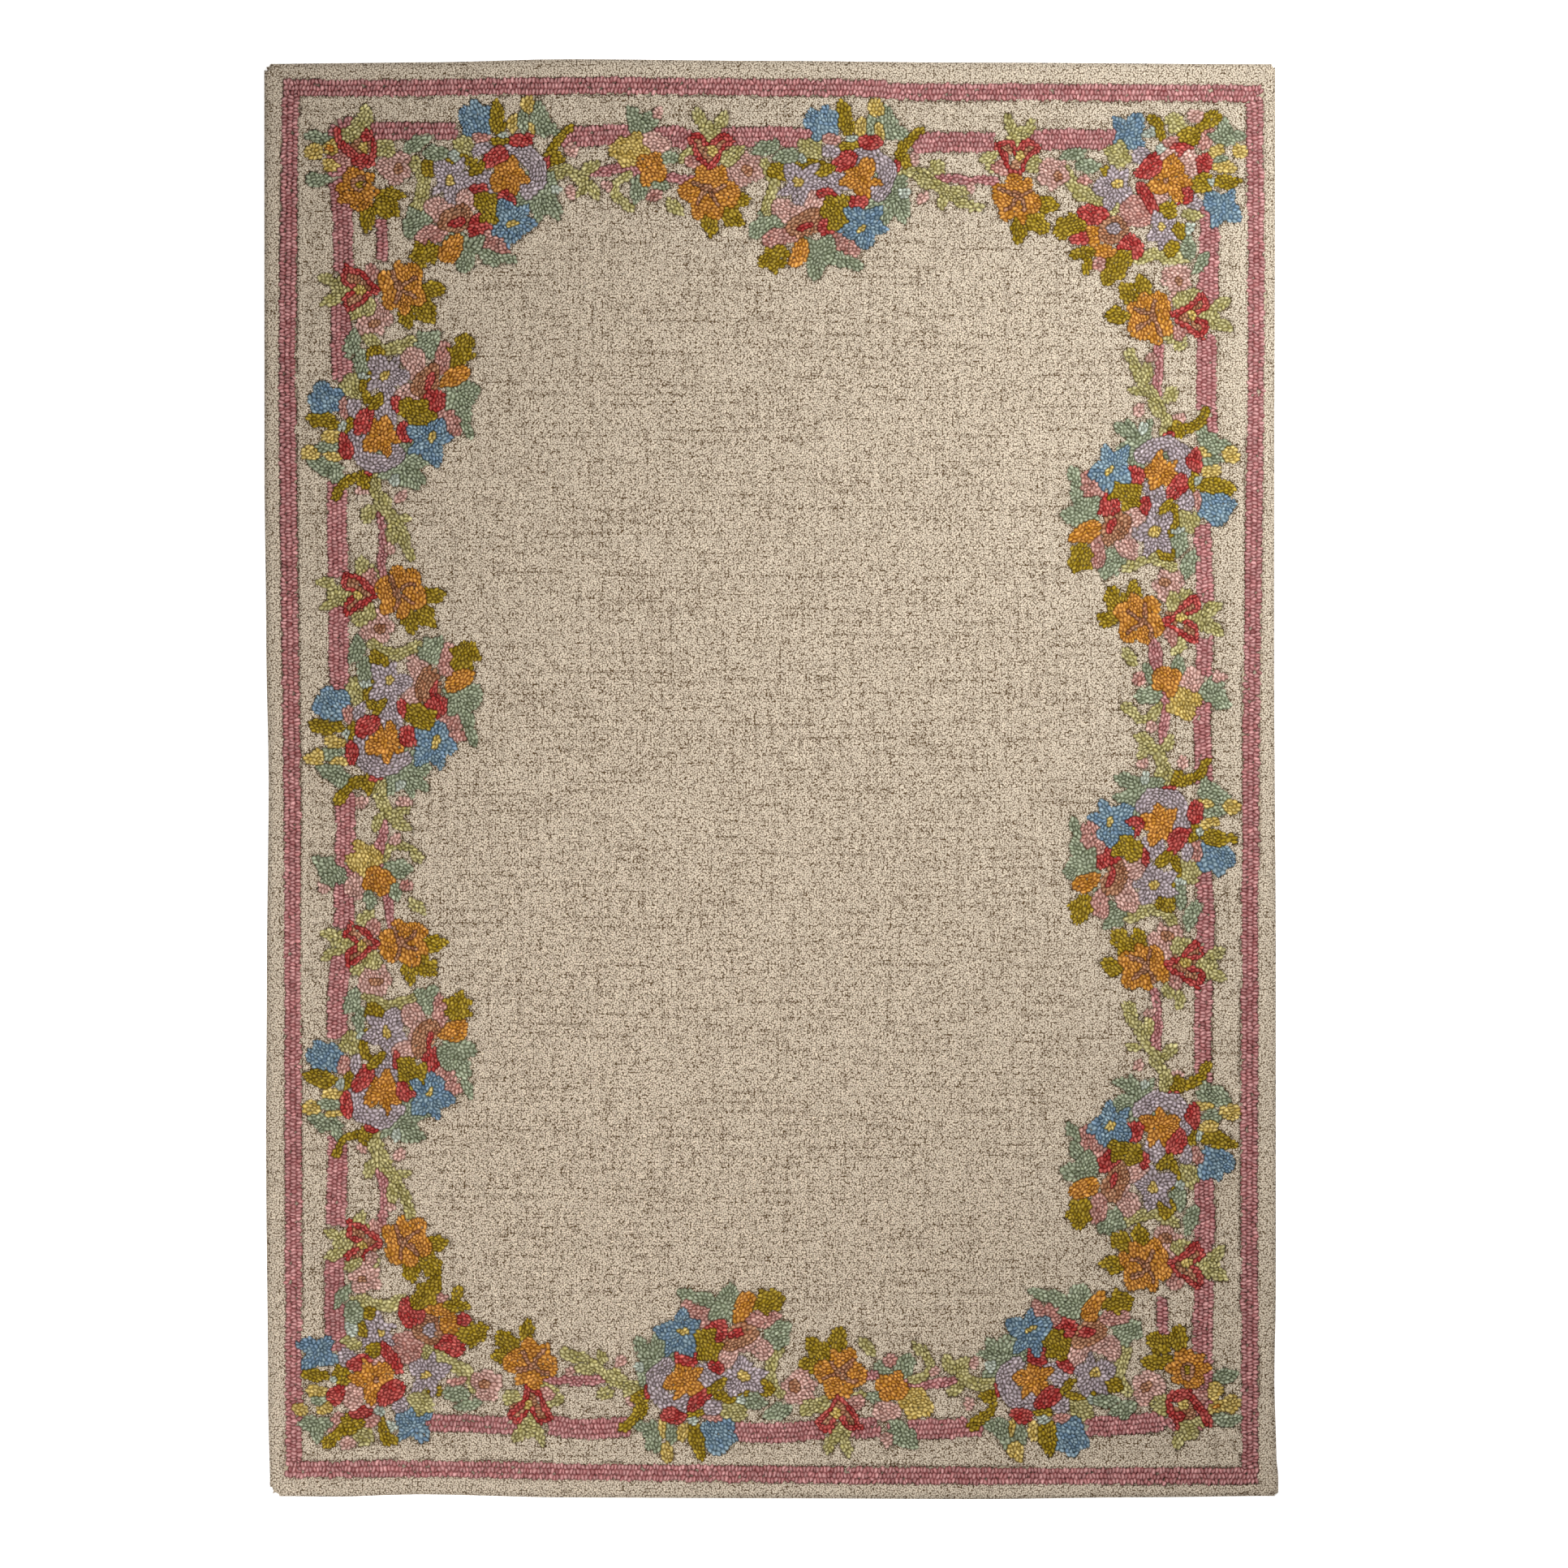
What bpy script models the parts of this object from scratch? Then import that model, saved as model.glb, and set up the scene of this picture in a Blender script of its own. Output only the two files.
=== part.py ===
"""A hooked wool rug of about 1.5 m by 2.13 m, lying flat.

It is one closed solid. Its outline wanders as the real edge does, its rim rolls down to a flat
underside, and its pile stands slightly higher in the border bands and in the flower clusters.
Metres, +Z up, +Y along the rug, origin at the middle of the underside.
"""

import math
from collections import namedtuple

import bmesh
import bpy

# Driving dimensions
RUG_WIDTH = 1.500
RUG_LENGTH = 2.134
GROUND_HEIGHT = 0.0100
BAND_RISE = 0.0016
FLOWER_RISE = 0.0014

# Rim: how far in from the edge each row of points stands, and how far below the pile's top
RimStep = namedtuple("RimStep", "inset drop")
RIM_STEPS = (
    RimStep(inset=0.0000, drop=0.0052),
    RimStep(inset=0.0018, drop=0.0024),
    RimStep(inset=0.0048, drop=0.0007),
    RimStep(inset=0.0100, drop=0.0000),
)
WALL_FOOT_INSET = 0.0022
WALL_FOOT_HEIGHT = 0.0016

# Bands of taller loops, each running round the rug parallel to its edge
Band = namedtuple("Band", "from_edge width shoulder")
OUTER_BAND = Band(from_edge=0.0255, width=0.0245, shoulder=0.0035)
INNER_BAND = Band(from_edge=0.0925, width=0.0285, shoulder=0.0035)
FIELD_START = 0.165
FIELD_SPACING = 0.048

# How far each edge wanders outward from the plain rectangle, from one end of the side to the other
EdgeStation = namedtuple("EdgeStation", "along outward")
LEFT_EDGE = (
    EdgeStation(along=0.00, outward=-0.0055),
    EdgeStation(along=0.07, outward=-0.0025),
    EdgeStation(along=0.25, outward=0.0005),
    EdgeStation(along=0.36, outward=-0.0008),
    EdgeStation(along=0.50, outward=-0.0034),
    EdgeStation(along=0.60, outward=0.0001),
    EdgeStation(along=0.72, outward=0.0028),
    EdgeStation(along=1.00, outward=0.0030),
)
RIGHT_EDGE = (
    EdgeStation(along=0.00, outward=0.0066),
    EdgeStation(along=0.03, outward=0.0016),
    EdgeStation(along=0.08, outward=-0.0010),
    EdgeStation(along=0.14, outward=0.0012),
    EdgeStation(along=0.37, outward=0.0012),
    EdgeStation(along=0.60, outward=-0.0011),
    EdgeStation(along=1.00, outward=0.0004),
)
BOTTOM_EDGE = (
    EdgeStation(along=0.00, outward=-0.0020),
    EdgeStation(along=0.06, outward=-0.0012),
    EdgeStation(along=0.14, outward=-0.0046),
    EdgeStation(along=0.30, outward=0.0002),
    EdgeStation(along=0.51, outward=0.0014),
    EdgeStation(along=0.70, outward=0.0024),
    EdgeStation(along=0.86, outward=-0.0002),
    EdgeStation(along=1.00, outward=-0.0024),
)
TOP_EDGE = (
    EdgeStation(along=0.00, outward=-0.0024),
    EdgeStation(along=0.06, outward=-0.0012),
    EdgeStation(along=0.16, outward=0.0002),
    EdgeStation(along=0.30, outward=0.0048),
    EdgeStation(along=0.51, outward=0.0024),
    EdgeStation(along=0.70, outward=0.0000),
    EdgeStation(along=1.00, outward=-0.0024),
)

# Corner radii, by the signs of x and y
CORNER_RADII = {
    (-1, 1): 0.0180,
    (1, 1): 0.0085,
    (-1, -1): 0.0200,
    (1, -1): 0.0085,
}

# Flower clusters: the middle of each, and its half sizes across and along the rug
Cluster = namedtuple("Cluster", "x y half_width half_length")
FLOWER_CLUSTERS = (
    Cluster(x=-0.490, y=0.885, half_width=0.215, half_length=0.110),
    Cluster(x=0.085, y=0.895, half_width=0.235, half_length=0.085),
    Cluster(x=0.560, y=0.865, half_width=0.125, half_length=0.125),
    Cluster(x=-0.560, y=0.545, half_width=0.095, half_length=0.130),
    Cluster(x=-0.560, y=0.090, half_width=0.095, half_length=0.130),
    Cluster(x=-0.560, y=-0.430, half_width=0.095, half_length=0.130),
    Cluster(x=0.565, y=0.420, half_width=0.095, half_length=0.130),
    Cluster(x=0.565, y=-0.100, half_width=0.095, half_length=0.130),
    Cluster(x=0.565, y=-0.555, half_width=0.095, half_length=0.130),
    Cluster(x=-0.535, y=-0.830, half_width=0.140, half_length=0.125),
    Cluster(x=-0.085, y=-0.870, half_width=0.140, half_length=0.090),
    Cluster(x=0.430, y=-0.840, half_width=0.165, half_length=0.100),
)

# Finish
PILE_COLOR = (0.66, 0.58, 0.46, 1.0)
PILE_ROUGHNESS = 0.95


def smooth_step(value):
    """Eases from 0 to 1 as value goes from 0 to 1."""
    value = min(max(value, 0.0), 1.0)
    return value * value * (3.0 - 2.0 * value)


def outward_at(stations, along):
    """How far an edge stands outward at a fraction of its length, eased from station to station."""
    for before, after in zip(stations, stations[1:]):
        if along <= after.along:
            share = smooth_step((along - before.along) / (after.along - before.along))
            return before.outward + share * (after.outward - before.outward)
    return stations[-1].outward


def lattice_lines(length):
    """Distances of the lattice's lines from one edge to the other, closer at the rim and the bands."""
    from_edge = [step.inset for step in RIM_STEPS]
    for band in (OUTER_BAND, INNER_BAND):
        band_end = band.from_edge + band.width
        from_edge += [band.from_edge, band.from_edge + band.shoulder]
        from_edge += [band_end - band.shoulder, band_end]
    field_length = length - 2.0 * FIELD_START
    steps = round(field_length / FIELD_SPACING)
    field = [FIELD_START + field_length * index / steps for index in range(steps + 1)]
    return from_edge + field + [length - distance for distance in reversed(from_edge)]


def round_corner(x, y):
    """Moves a point of the plain rectangle inward so that the corner nearest to it is round."""
    side_x = 1 if x > 0 else -1
    side_y = 1 if y > 0 else -1
    radius = CORNER_RADII[side_x, side_y]
    across = (abs(x) - (RUG_WIDTH / 2 - radius)) / radius
    along = (abs(y) - (RUG_LENGTH / 2 - radius)) / radius
    if across <= 0.0 or along <= 0.0:
        return x, y
    new_x = RUG_WIDTH / 2 - radius + radius * across * math.sqrt(1.0 - along * along / 2.0)
    new_y = RUG_LENGTH / 2 - radius + radius * along * math.sqrt(1.0 - across * across / 2.0)
    return side_x * new_x, side_y * new_y


def wander(x, y):
    """Moves a point with the edges near it, so that the sides are as uneven as the real ones."""
    right_share = x / RUG_WIDTH + 0.5
    top_share = y / RUG_LENGTH + 0.5
    left = outward_at(LEFT_EDGE, top_share) * (1.0 - right_share)
    right = outward_at(RIGHT_EDGE, top_share) * right_share
    bottom = outward_at(BOTTOM_EDGE, right_share) * (1.0 - top_share)
    top = outward_at(TOP_EDGE, right_share) * top_share
    return x - left + right, y - bottom + top


def edge_distance(x, y):
    """Distance of a point of the plain rectangle from the nearest side."""
    return min(RUG_WIDTH / 2 - abs(x), RUG_LENGTH / 2 - abs(y))


def rim_drop(distance):
    """How far the rim has rolled down at this distance from the edge."""
    for outer, inner in zip(RIM_STEPS, RIM_STEPS[1:]):
        if distance < inner.inset:
            share = (distance - outer.inset) / (inner.inset - outer.inset)
            return outer.drop + share * (inner.drop - outer.drop)
    return 0.0


def band_rise(distance):
    """Extra height of the pile in the two border bands."""
    rise = 0.0
    for band in (OUTER_BAND, INNER_BAND):
        into_band = distance - band.from_edge
        nearest_side = min(into_band, band.width - into_band)
        rise = max(rise, BAND_RISE * min(max(nearest_side / band.shoulder, 0.0), 1.0))
    return rise


def flower_rise(x, y):
    """Extra height of the pile in the flower clusters."""
    rise = 0.0
    for cluster in FLOWER_CLUSTERS:
        offset = math.hypot((x - cluster.x) / cluster.half_width, (y - cluster.y) / cluster.half_length)
        rise = max(rise, FLOWER_RISE * smooth_step((1.25 - offset) / 0.5))
    return rise


def pile_height(x, y):
    """Height of the pile's top over the floor."""
    distance = edge_distance(x, y)
    rise = max(band_rise(distance), flower_rise(x, y))
    return GROUND_HEIGHT + rise - rim_drop(distance)


def build_pile_face(mesh):
    """Adds the upper face as a lattice of quads, and returns its points by row."""
    columns = [distance - RUG_WIDTH / 2 for distance in lattice_lines(RUG_WIDTH)]
    rows = [distance - RUG_LENGTH / 2 for distance in lattice_lines(RUG_LENGTH)]
    points = []
    for y in rows:
        point_row = []
        for x in columns:
            place = wander(*round_corner(x, y))
            point_row.append(mesh.verts.new((*place, pile_height(x, y))))
        points.append(point_row)
    for lower, upper in zip(points, points[1:]):
        for column in range(len(columns) - 1):
            corners = (lower[column], lower[column + 1], upper[column + 1], upper[column])
            mesh.faces.new(corners)
    return points


def boundary_loop(points):
    """The lattice's outer points, counter-clockwise from the first corner."""
    first = points[0]
    last = points[-1]
    right = [row[-1] for row in points[1:-1]]
    left = [row[0] for row in points[1:-1]]
    return first + right + last[::-1] + left[::-1]


def add_ring(mesh, loop, inset, height):
    """Adds a ring of points below a loop, moved inward square to it, and the wall between them."""
    ring = []
    for index, point in enumerate(loop):
        ahead = loop[(index + 1) % len(loop)].co
        behind = loop[index - 1].co
        run = (ahead - behind).normalized()
        ring.append(mesh.verts.new((point.co.x - run.y * inset, point.co.y + run.x * inset, height)))
    for index, point in enumerate(loop):
        following = (index + 1) % len(loop)
        mesh.faces.new((point, ring[index], ring[following], loop[following]))
    return ring


def centre_on_origin(mesh):
    """Moves the solid so that the middle of its outline stands over the origin."""
    across = [point.co.x for point in mesh.verts]
    along = [point.co.y for point in mesh.verts]
    offset_x = (max(across) + min(across)) / 2
    offset_y = (max(along) + min(along)) / 2
    bmesh.ops.translate(mesh, verts=mesh.verts, vec=(-offset_x, -offset_y, 0.0))


def pile_material():
    """Cream wool, matt all over."""
    material = bpy.data.materials.new("cream_wool")
    material.use_nodes = True
    shader = material.node_tree.nodes["Principled BSDF"]
    shader.inputs["Base Color"].default_value = PILE_COLOR
    shader.inputs["Roughness"].default_value = PILE_ROUGHNESS
    shader.inputs["Metallic"].default_value = 0.0
    return material


def build_rug():
    """The whole rug as one solid."""
    mesh = bmesh.new()
    points = build_pile_face(mesh)
    upper_ring = boundary_loop(points)
    wall_ring = add_ring(mesh, upper_ring, 0.0, WALL_FOOT_HEIGHT)
    foot_ring = add_ring(mesh, wall_ring, WALL_FOOT_INSET, 0.0)
    mesh.faces.new(foot_ring[::-1])
    centre_on_origin(mesh)
    bmesh.ops.recalc_face_normals(mesh, faces=mesh.faces)
    data = bpy.data.meshes.new("hooked_rug")
    mesh.to_mesh(data)
    mesh.free()
    data.shade_smooth()
    data.set_sharp_from_angle(angle=math.radians(40))
    data.materials.append(pile_material())
    rug = bpy.data.objects.new("hooked_rug", data)
    bpy.context.scene.collection.objects.link(rug)
    return rug


def main():
    for old in list(bpy.data.objects):
        bpy.data.objects.remove(old)
    build_rug()


main()
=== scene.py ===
"""Looks of a flat hooked wool rug with a cream looped ground, pink bands and a flowered border.

The cream ground is a lattice of crowned cells, with the finest loops between them in its shader, as painted
shade in their hollows and as bump. The bands, leaves, flowers and vines are coarser loops, each a shape of
its own: laid row by row along the bands, and packed side by side inside each vine, leaf and petal. Each
wool's colour falls to a painted shade down the sides of its loops and in the crevices between them. All of
it stands on a cotton cloth that follows the outline of the rug's solid. Lengths are in millimetres until a
mesh is made. The charts of the motifs give places along the border and inward from it.
"""

from __future__ import annotations

import logging
import math
from dataclasses import dataclass
from enum import Enum

import bpy
import numpy as np
from mathutils.kdtree import KDTree
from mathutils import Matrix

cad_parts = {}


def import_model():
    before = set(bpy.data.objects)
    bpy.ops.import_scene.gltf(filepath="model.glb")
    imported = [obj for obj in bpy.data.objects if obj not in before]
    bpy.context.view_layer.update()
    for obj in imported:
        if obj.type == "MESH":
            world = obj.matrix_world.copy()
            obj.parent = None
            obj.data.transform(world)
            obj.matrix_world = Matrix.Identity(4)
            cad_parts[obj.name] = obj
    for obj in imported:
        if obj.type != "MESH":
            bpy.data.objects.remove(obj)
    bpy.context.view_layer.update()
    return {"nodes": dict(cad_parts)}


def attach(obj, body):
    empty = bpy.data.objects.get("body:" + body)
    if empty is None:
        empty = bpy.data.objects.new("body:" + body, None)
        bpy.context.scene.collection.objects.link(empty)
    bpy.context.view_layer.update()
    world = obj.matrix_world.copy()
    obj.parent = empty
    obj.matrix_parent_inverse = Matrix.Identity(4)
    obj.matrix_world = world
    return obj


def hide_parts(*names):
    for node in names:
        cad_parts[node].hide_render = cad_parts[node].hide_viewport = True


LOG = logging.getLogger("hooked_rug")
MM = 0.001
SEED = 20417
RUG_NODE = "hooked_rug"
RUG_BODY = "root"
YARN_ATTRIBUTE = "yarn"
BAKE_LAYER = "OFBake"


class Wool(Enum):
    """The wools of the pile, each named by its material slot."""

    CREAM = "cream_wool"
    PINK = "dusty_pink_wool"
    ORANGE = "orange_wool"
    RED = "red_wool"
    BLUE = "blue_wool"
    LAVENDER = "lavender_wool"
    BLUSH = "blush_wool"
    ROSE = "rose_wool"
    OLIVE = "olive_wool"
    SAGE = "sage_wool"
    CELERY = "celery_wool"
    YELLOW = "yellow_wool"
    TAUPE = "taupe_wool"
    AQUA = "aqua_wool"


class Form(Enum):
    """Outlines that a flower or leaf part can have."""

    OVAL = "oval"
    LEAF = "leaf"
    STAR = "star"
    SPIKED = "spiked"


class Facing(Enum):
    """Which side of the border a motif lies on: its direction along the border, then inward."""

    TOP = ((1.0, 0.0), (0.0, -1.0))
    LEFT = ((0.0, -1.0), (1.0, 0.0))
    BOTTOM = ((-1.0, 0.0), (0.0, 1.0))
    RIGHT = ((0.0, 1.0), (-1.0, 0.0))


@dataclass(frozen=True)
class Patch:
    """One leaf, petal or flower of a motif, in millimetres.

    Attributes:
        form: Its outline.
        wool: Its wool.
        along: Middle of it along the border.
        inward: Middle of it towards the field.
        length: Full length, or a star's diameter.
        width: Full width, or a star's diameter.
        turn: Degrees that its length is turned from the border towards the field.
        lobes: Number of a star's petals.
    """

    form: Form
    wool: Wool
    along: float
    inward: float
    length: float
    width: float
    turn: float = 0.0
    lobes: int = 5


@dataclass(frozen=True)
class Vine:
    """A stem, ribbon or band of a motif: rows of loops along a line, in millimetres.

    Attributes:
        wool: Its wool.
        width: Full width.
        points: Points of its middle line, along the border and inward.
    """

    wool: Wool
    width: float
    points: tuple[tuple[float, float], ...]


@dataclass(frozen=True)
class Placement:
    """Where a motif lies on the rug.

    Attributes:
        motif: The parts of the motif, the lowest first.
        x: Place of the motif's middle across the rug, in millimetres.
        y: Place of the motif's middle along the rug, in millimetres.
        facing: The side of the border that it lies on.
    """

    motif: tuple[Patch | Vine, ...]
    x: float
    y: float
    facing: Facing


def oval(wool: Wool, along: float, inward: float, length: float, width: float, turn: float = 0) -> Patch:
    """A rounded petal or blot of one wool."""
    return Patch(Form.OVAL, wool, along, inward, length, width, turn)


def leaf(wool: Wool, along: float, inward: float, length: float, width: float, turn: float = 0) -> Patch:
    """A leaf with two pointed ends."""
    return Patch(Form.LEAF, wool, along, inward, length, width, turn)


def star(wool: Wool, along: float, inward: float, radius: float, lobes: int, turn: float = 0) -> Patch:
    """An open flower with rounded petals."""
    return Patch(Form.STAR, wool, along, inward, 2 * radius, 2 * radius, turn, lobes)


def spiked(wool: Wool, along: float, inward: float, radius: float, lobes: int, turn: float = 0) -> Patch:
    """An open flower with pointed petals."""
    return Patch(Form.SPIKED, wool, along, inward, 2 * radius, 2 * radius, turn, lobes)


def vine(wool: Wool, width: float, *points: tuple[float, float]) -> Vine:
    """A stem or ribbon through the given points."""
    return Vine(wool, width, points)


# The bouquet that repeats along every side, round its own middle
BOUQUET = (
    vine(Wool.CELERY, 17, (-107, -36), (-94, -12), (-96, 12), (-104, 31)),
    leaf(Wool.SAGE, -102, -62, 46, 22, -20),
    leaf(Wool.SAGE, -71, -48, 42, 23),
    star(Wool.BLUSH, -137, -28, 26, 5, 20),
    oval(Wool.TAUPE, -131, -26, 15, 18),
    leaf(Wool.CELERY, -150, -53, 32, 24, -40),
    oval(Wool.OLIVE, -84, -26, 33, 25, 20),
    star(Wool.CELERY, -37, -60, 19, 4, 20),
    vine(Wool.OLIVE, 12, (-54, -37), (-35, -43), (-18, -38)),
    oval(Wool.AQUA, -51, -45, 12, 18),
    leaf(Wool.SAGE, -103, 53, 52, 36, -38),
    spiked(Wool.SAGE, 76, 13, 40, 5, 100),
    leaf(Wool.SAGE, 96, 34, 38, 17, 58),
    oval(Wool.AQUA, 100, 5, 18, 16),
    leaf(Wool.SAGE, 53, -97, 36, 17, 90),
    leaf(Wool.SAGE, 79, -99, 54, 27, 78),
    leaf(Wool.SAGE, 97, -83, 32, 18, 25),
    vine(Wool.OLIVE, 15, (96, -38), (98, -58), (108, -74), (126, -87)),
    leaf(Wool.OLIVE, 101, -43, 30, 21, 20),
    oval(Wool.RED, 84, -28, 34, 15, 108),
    star(Wool.BLUE, -17, -99, 28, 5, 54),
    leaf(Wool.OLIVE, 13, -103, 58, 24, 82),
    oval(Wool.OLIVE, 22, -66, 32, 17),
    oval(Wool.AQUA, 22, -76, 15, 12),
    oval(Wool.YELLOW, 37, -92, 28, 18, 100),
    oval(Wool.YELLOW, 60, -122, 28, 22, 80),
    oval(Wool.YELLOW, 66, -85, 26, 11, 90),
    oval(Wool.ROSE, -7, -73, 28, 14),
    oval(Wool.LAVENDER, -8, -57, 28, 19, -10),
    vine(Wool.LAVENDER, 27, (36, -50), (58, -48), (74, -32), (74, -10), (60, 6)),
    oval(Wool.RED, 52, -69, 37, 22),
    oval(Wool.LAVENDER, 0, -9, 42, 31, 25),
    spiked(Wool.ORANGE, 35, -17, 32, 5, 80),
    oval(Wool.RED, 12, -44, 43, 26, -35),
    spiked(Wool.LAVENDER, -54, -10, 35, 5, 10),
    oval(Wool.YELLOW, -55, -9, 17, 15),
    leaf(Wool.OLIVE, -15, -24, 34, 15, -38),
    oval(Wool.BLUSH, -77, 32, 42, 31, 35),
    oval(Wool.BLUSH, -53, 38, 32, 26),
    oval(Wool.BLUSH, -28, 22, 44, 31, -60),
    oval(Wool.ROSE, -84, 74, 48, 26, -5),
    oval(Wool.TAUPE, -47, 49, 58, 36, -25),
    oval(Wool.RED, -44, 54, 28, 13, -15),
    oval(Wool.RED, -14, 60, 33, 39, 10),
    oval(Wool.ROSE, 6, 82, 27, 37, -15),
    oval(Wool.ROSE, 27, 88, 19, 30),
    leaf(Wool.SAGE, 28, 110, 36, 16, 20),
    leaf(Wool.SAGE, 0, 105, 36, 22, 35),
    spiked(Wool.SAGE, -31, 95, 32, 3, 90),
    leaf(Wool.OLIVE, -92, 101, 50, 36, -20),
    oval(Wool.ORANGE, -54, 94, 48, 28, -60),
    oval(Wool.RED, -14, 5, 28, 16, 10),
    oval(Wool.RED, 30, 20, 31, 29),
    leaf(Wool.OLIVE, 5, 37, 68, 40, 52),
    spiked(Wool.BLUE, 41, 54, 36, 5, 20),
    oval(Wool.BLUE, 22, 69, 25, 16),
    oval(Wool.YELLOW, 37, 58, 18, 10, -20),
)

# The vine after a bouquet where the next single flower is near
SHORT_VINE = (
    vine(Wool.PINK, 12.5, (148, -15), (190, -15), (236, -14)),
    vine(
        Wool.CELERY, 16, (88, -27), (111, -25), (133, -19), (151, -5), (163, 5), (181, 13), (199, 22),
        (214, 27),
    ),
    leaf(Wool.CELERY, 150, -34, 30, 19, -30),
    oval(Wool.CELERY, 109, -29, 22, 19),
    leaf(Wool.CELERY, 133, -10, 34, 17, 30),
    leaf(Wool.CELERY, 156, 19, 24, 12, 80),
    leaf(Wool.CELERY, 183, 0, 34, 17, 5),
    leaf(Wool.CELERY, 190, 20, 36, 15, 25),
    oval(Wool.BLUSH, 115, -46, 13, 21),
    oval(Wool.BLUSH, 127, 12, 20, 14, -40),
    oval(Wool.BLUSH, 204, -4, 13, 18),
    leaf(Wool.CELERY, 226, -48, 32, 17, -22),
    leaf(Wool.CELERY, 239, -31, 30, 18, 10),
)

# The vine after a bouquet where a yellow and orange bud stands before the next single flower
LONG_VINE = (
    vine(Wool.PINK, 13.5, (155, -20), (175, -22), (199, -27), (226, -20)),
    vine(Wool.PINK, 13.5, (256, -12), (280, -11), (306, -10)),
    vine(Wool.CELERY, 18, (84, -14), (109, -24), (127, -21), (142, -9), (146, 4)),
    leaf(Wool.CELERY, 153, -29, 34, 17, -30),
    leaf(Wool.CELERY, 104, -20, 34, 20, -20),
    leaf(Wool.CELERY, 139, 8, 22, 14, -45),
    leaf(Wool.CELERY, 159, 6, 36, 17, 62),
    vine(Wool.CELERY, 13, (212, -17), (194, -6), (190, 9), (199, 23), (212, 33)),
    leaf(Wool.CELERY, 204, 27, 28, 15, 50),
    oval(Wool.BLUSH, 127, -52, 18, 20),
    oval(Wool.BLUSH, 180, -1, 17, 17),
    oval(Wool.BLUSH, 124, 9, 15, 20),
    leaf(Wool.SAGE, 226, -97, 62, 29, 50),
    oval(Wool.SAGE, 243, -99, 26, 25),
    oval(Wool.BLUSH, 253, -106, 18, 19),
    oval(Wool.BLUSH, 251, -64, 44, 31, 5),
    leaf(Wool.SAGE, 270, -42, 30, 18),
    leaf(Wool.SAGE, 226, 3, 44, 25, 95),
    leaf(Wool.SAGE, 257, -2, 34, 17, 15),
    oval(Wool.ROSE, 250, 14, 21, 18, -30),
    leaf(Wool.CELERY, 281, 30, 38, 18, 40),
    leaf(Wool.CELERY, 299, -45, 34, 20, -35),
    star(Wool.YELLOW, 211, -51, 27, 4, 20),
    star(Wool.ORANGE, 245, -26, 24, 4, 30),
)

# The single orange flower with the bow behind it, round the flower's middle
SINGLE_FLOWER = (
    oval(Wool.CELERY, 0, -90, 30, 34),
    leaf(Wool.CELERY, -12, -108, 34, 17, 70),
    leaf(Wool.CELERY, 18, -106, 34, 17, 118),
    oval(Wool.ROSE, -22, -45, 26, 22),
    oval(Wool.CELERY, 28, -48, 28, 24),
    oval(Wool.TAUPE, -14, -72, 24, 22),
    oval(Wool.TAUPE, 18, -70, 24, 22),
    oval(Wool.TAUPE, 3, -52, 22, 24),
    vine(Wool.RED, 8.5, (-30, -80), (-20, -62), (-10, -48), (2, -36)),
    vine(Wool.RED, 8.5, (-26, -82), (-10, -84), (-2, -68)),
    vine(Wool.RED, 8.5, (4, -36), (10, -52), (20, -62), (32, -76)),
    vine(Wool.RED, 8.5, (32, -80), (18, -85), (8, -70)),
    oval(Wool.YELLOW, 4, -62, 14, 16),
    leaf(Wool.OLIVE, 41, 10, 42, 24, 5),
    leaf(Wool.OLIVE, 33, 34, 48, 29, 42),
    leaf(Wool.OLIVE, 3, 46, 42, 24, 88),
    star(Wool.ORANGE, 0, 0, 38, 6, 12),
    vine(Wool.TAUPE, 7, (-2, -4), (-14, -12), (-24, -15)),
    vine(Wool.TAUPE, 7, (-2, -4), (-10, 8), (-16, 18)),
    vine(Wool.TAUPE, 7, (0, -4), (8, 8), (13, 19)),
    vine(Wool.TAUPE, 7, (0, -4), (12, -5), (23, -9)),
    oval(Wool.TAUPE, -1, -5, 15, 12),
)

# The corner's smaller orange flower, its thick bow, and the bars and buds outside it
CORNER_FLOWER = (
    oval(Wool.SAGE, -63, -82, 43, 18, 3),
    oval(Wool.SAGE, -61, -17, 41, 20, -6),
    oval(Wool.YELLOW, -68, -60, 25, 24),
    oval(Wool.YELLOW, -43, -65, 27, 23),
    oval(Wool.ORANGE, -45, -63, 12, 10),
    oval(Wool.YELLOW, -45, -40, 22, 24),
    oval(Wool.CELERY, -2, -94, 32, 34),
    leaf(Wool.CELERY, 8, -112, 30, 20, 100),
    leaf(Wool.CELERY, -24, -84, 34, 17, 20),
    oval(Wool.ROSE, -22, -50, 30, 26),
    oval(Wool.TAUPE, 4, -70, 40, 26),
    oval(Wool.CELERY, 36, -62, 32, 26),
    vine(Wool.RED, 12, (-36, -92), (-26, -72), (-12, -54), (0, -42)),
    oval(Wool.RED, 4, -46, 34, 18),
    vine(Wool.RED, 9, (10, -92), (20, -78), (22, -58), (16, -42)),
    oval(Wool.RED, 9, -80, 18, 17),
    oval(Wool.YELLOW, 3, -64, 17, 17),
    leaf(Wool.OLIVE, 42, 6, 46, 24, -5),
    leaf(Wool.OLIVE, 38, 28, 44, 30, 28),
    leaf(Wool.OLIVE, 8, 36, 46, 24, 92),
    star(Wool.ORANGE, -4, -6, 31, 6, 12),
    oval(Wool.TAUPE, -2, -12, 24, 26),
    oval(Wool.OLIVE, -2, -10, 11, 14),
    oval(Wool.ORANGE, -10, 10, 30, 18, 30),
)

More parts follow.
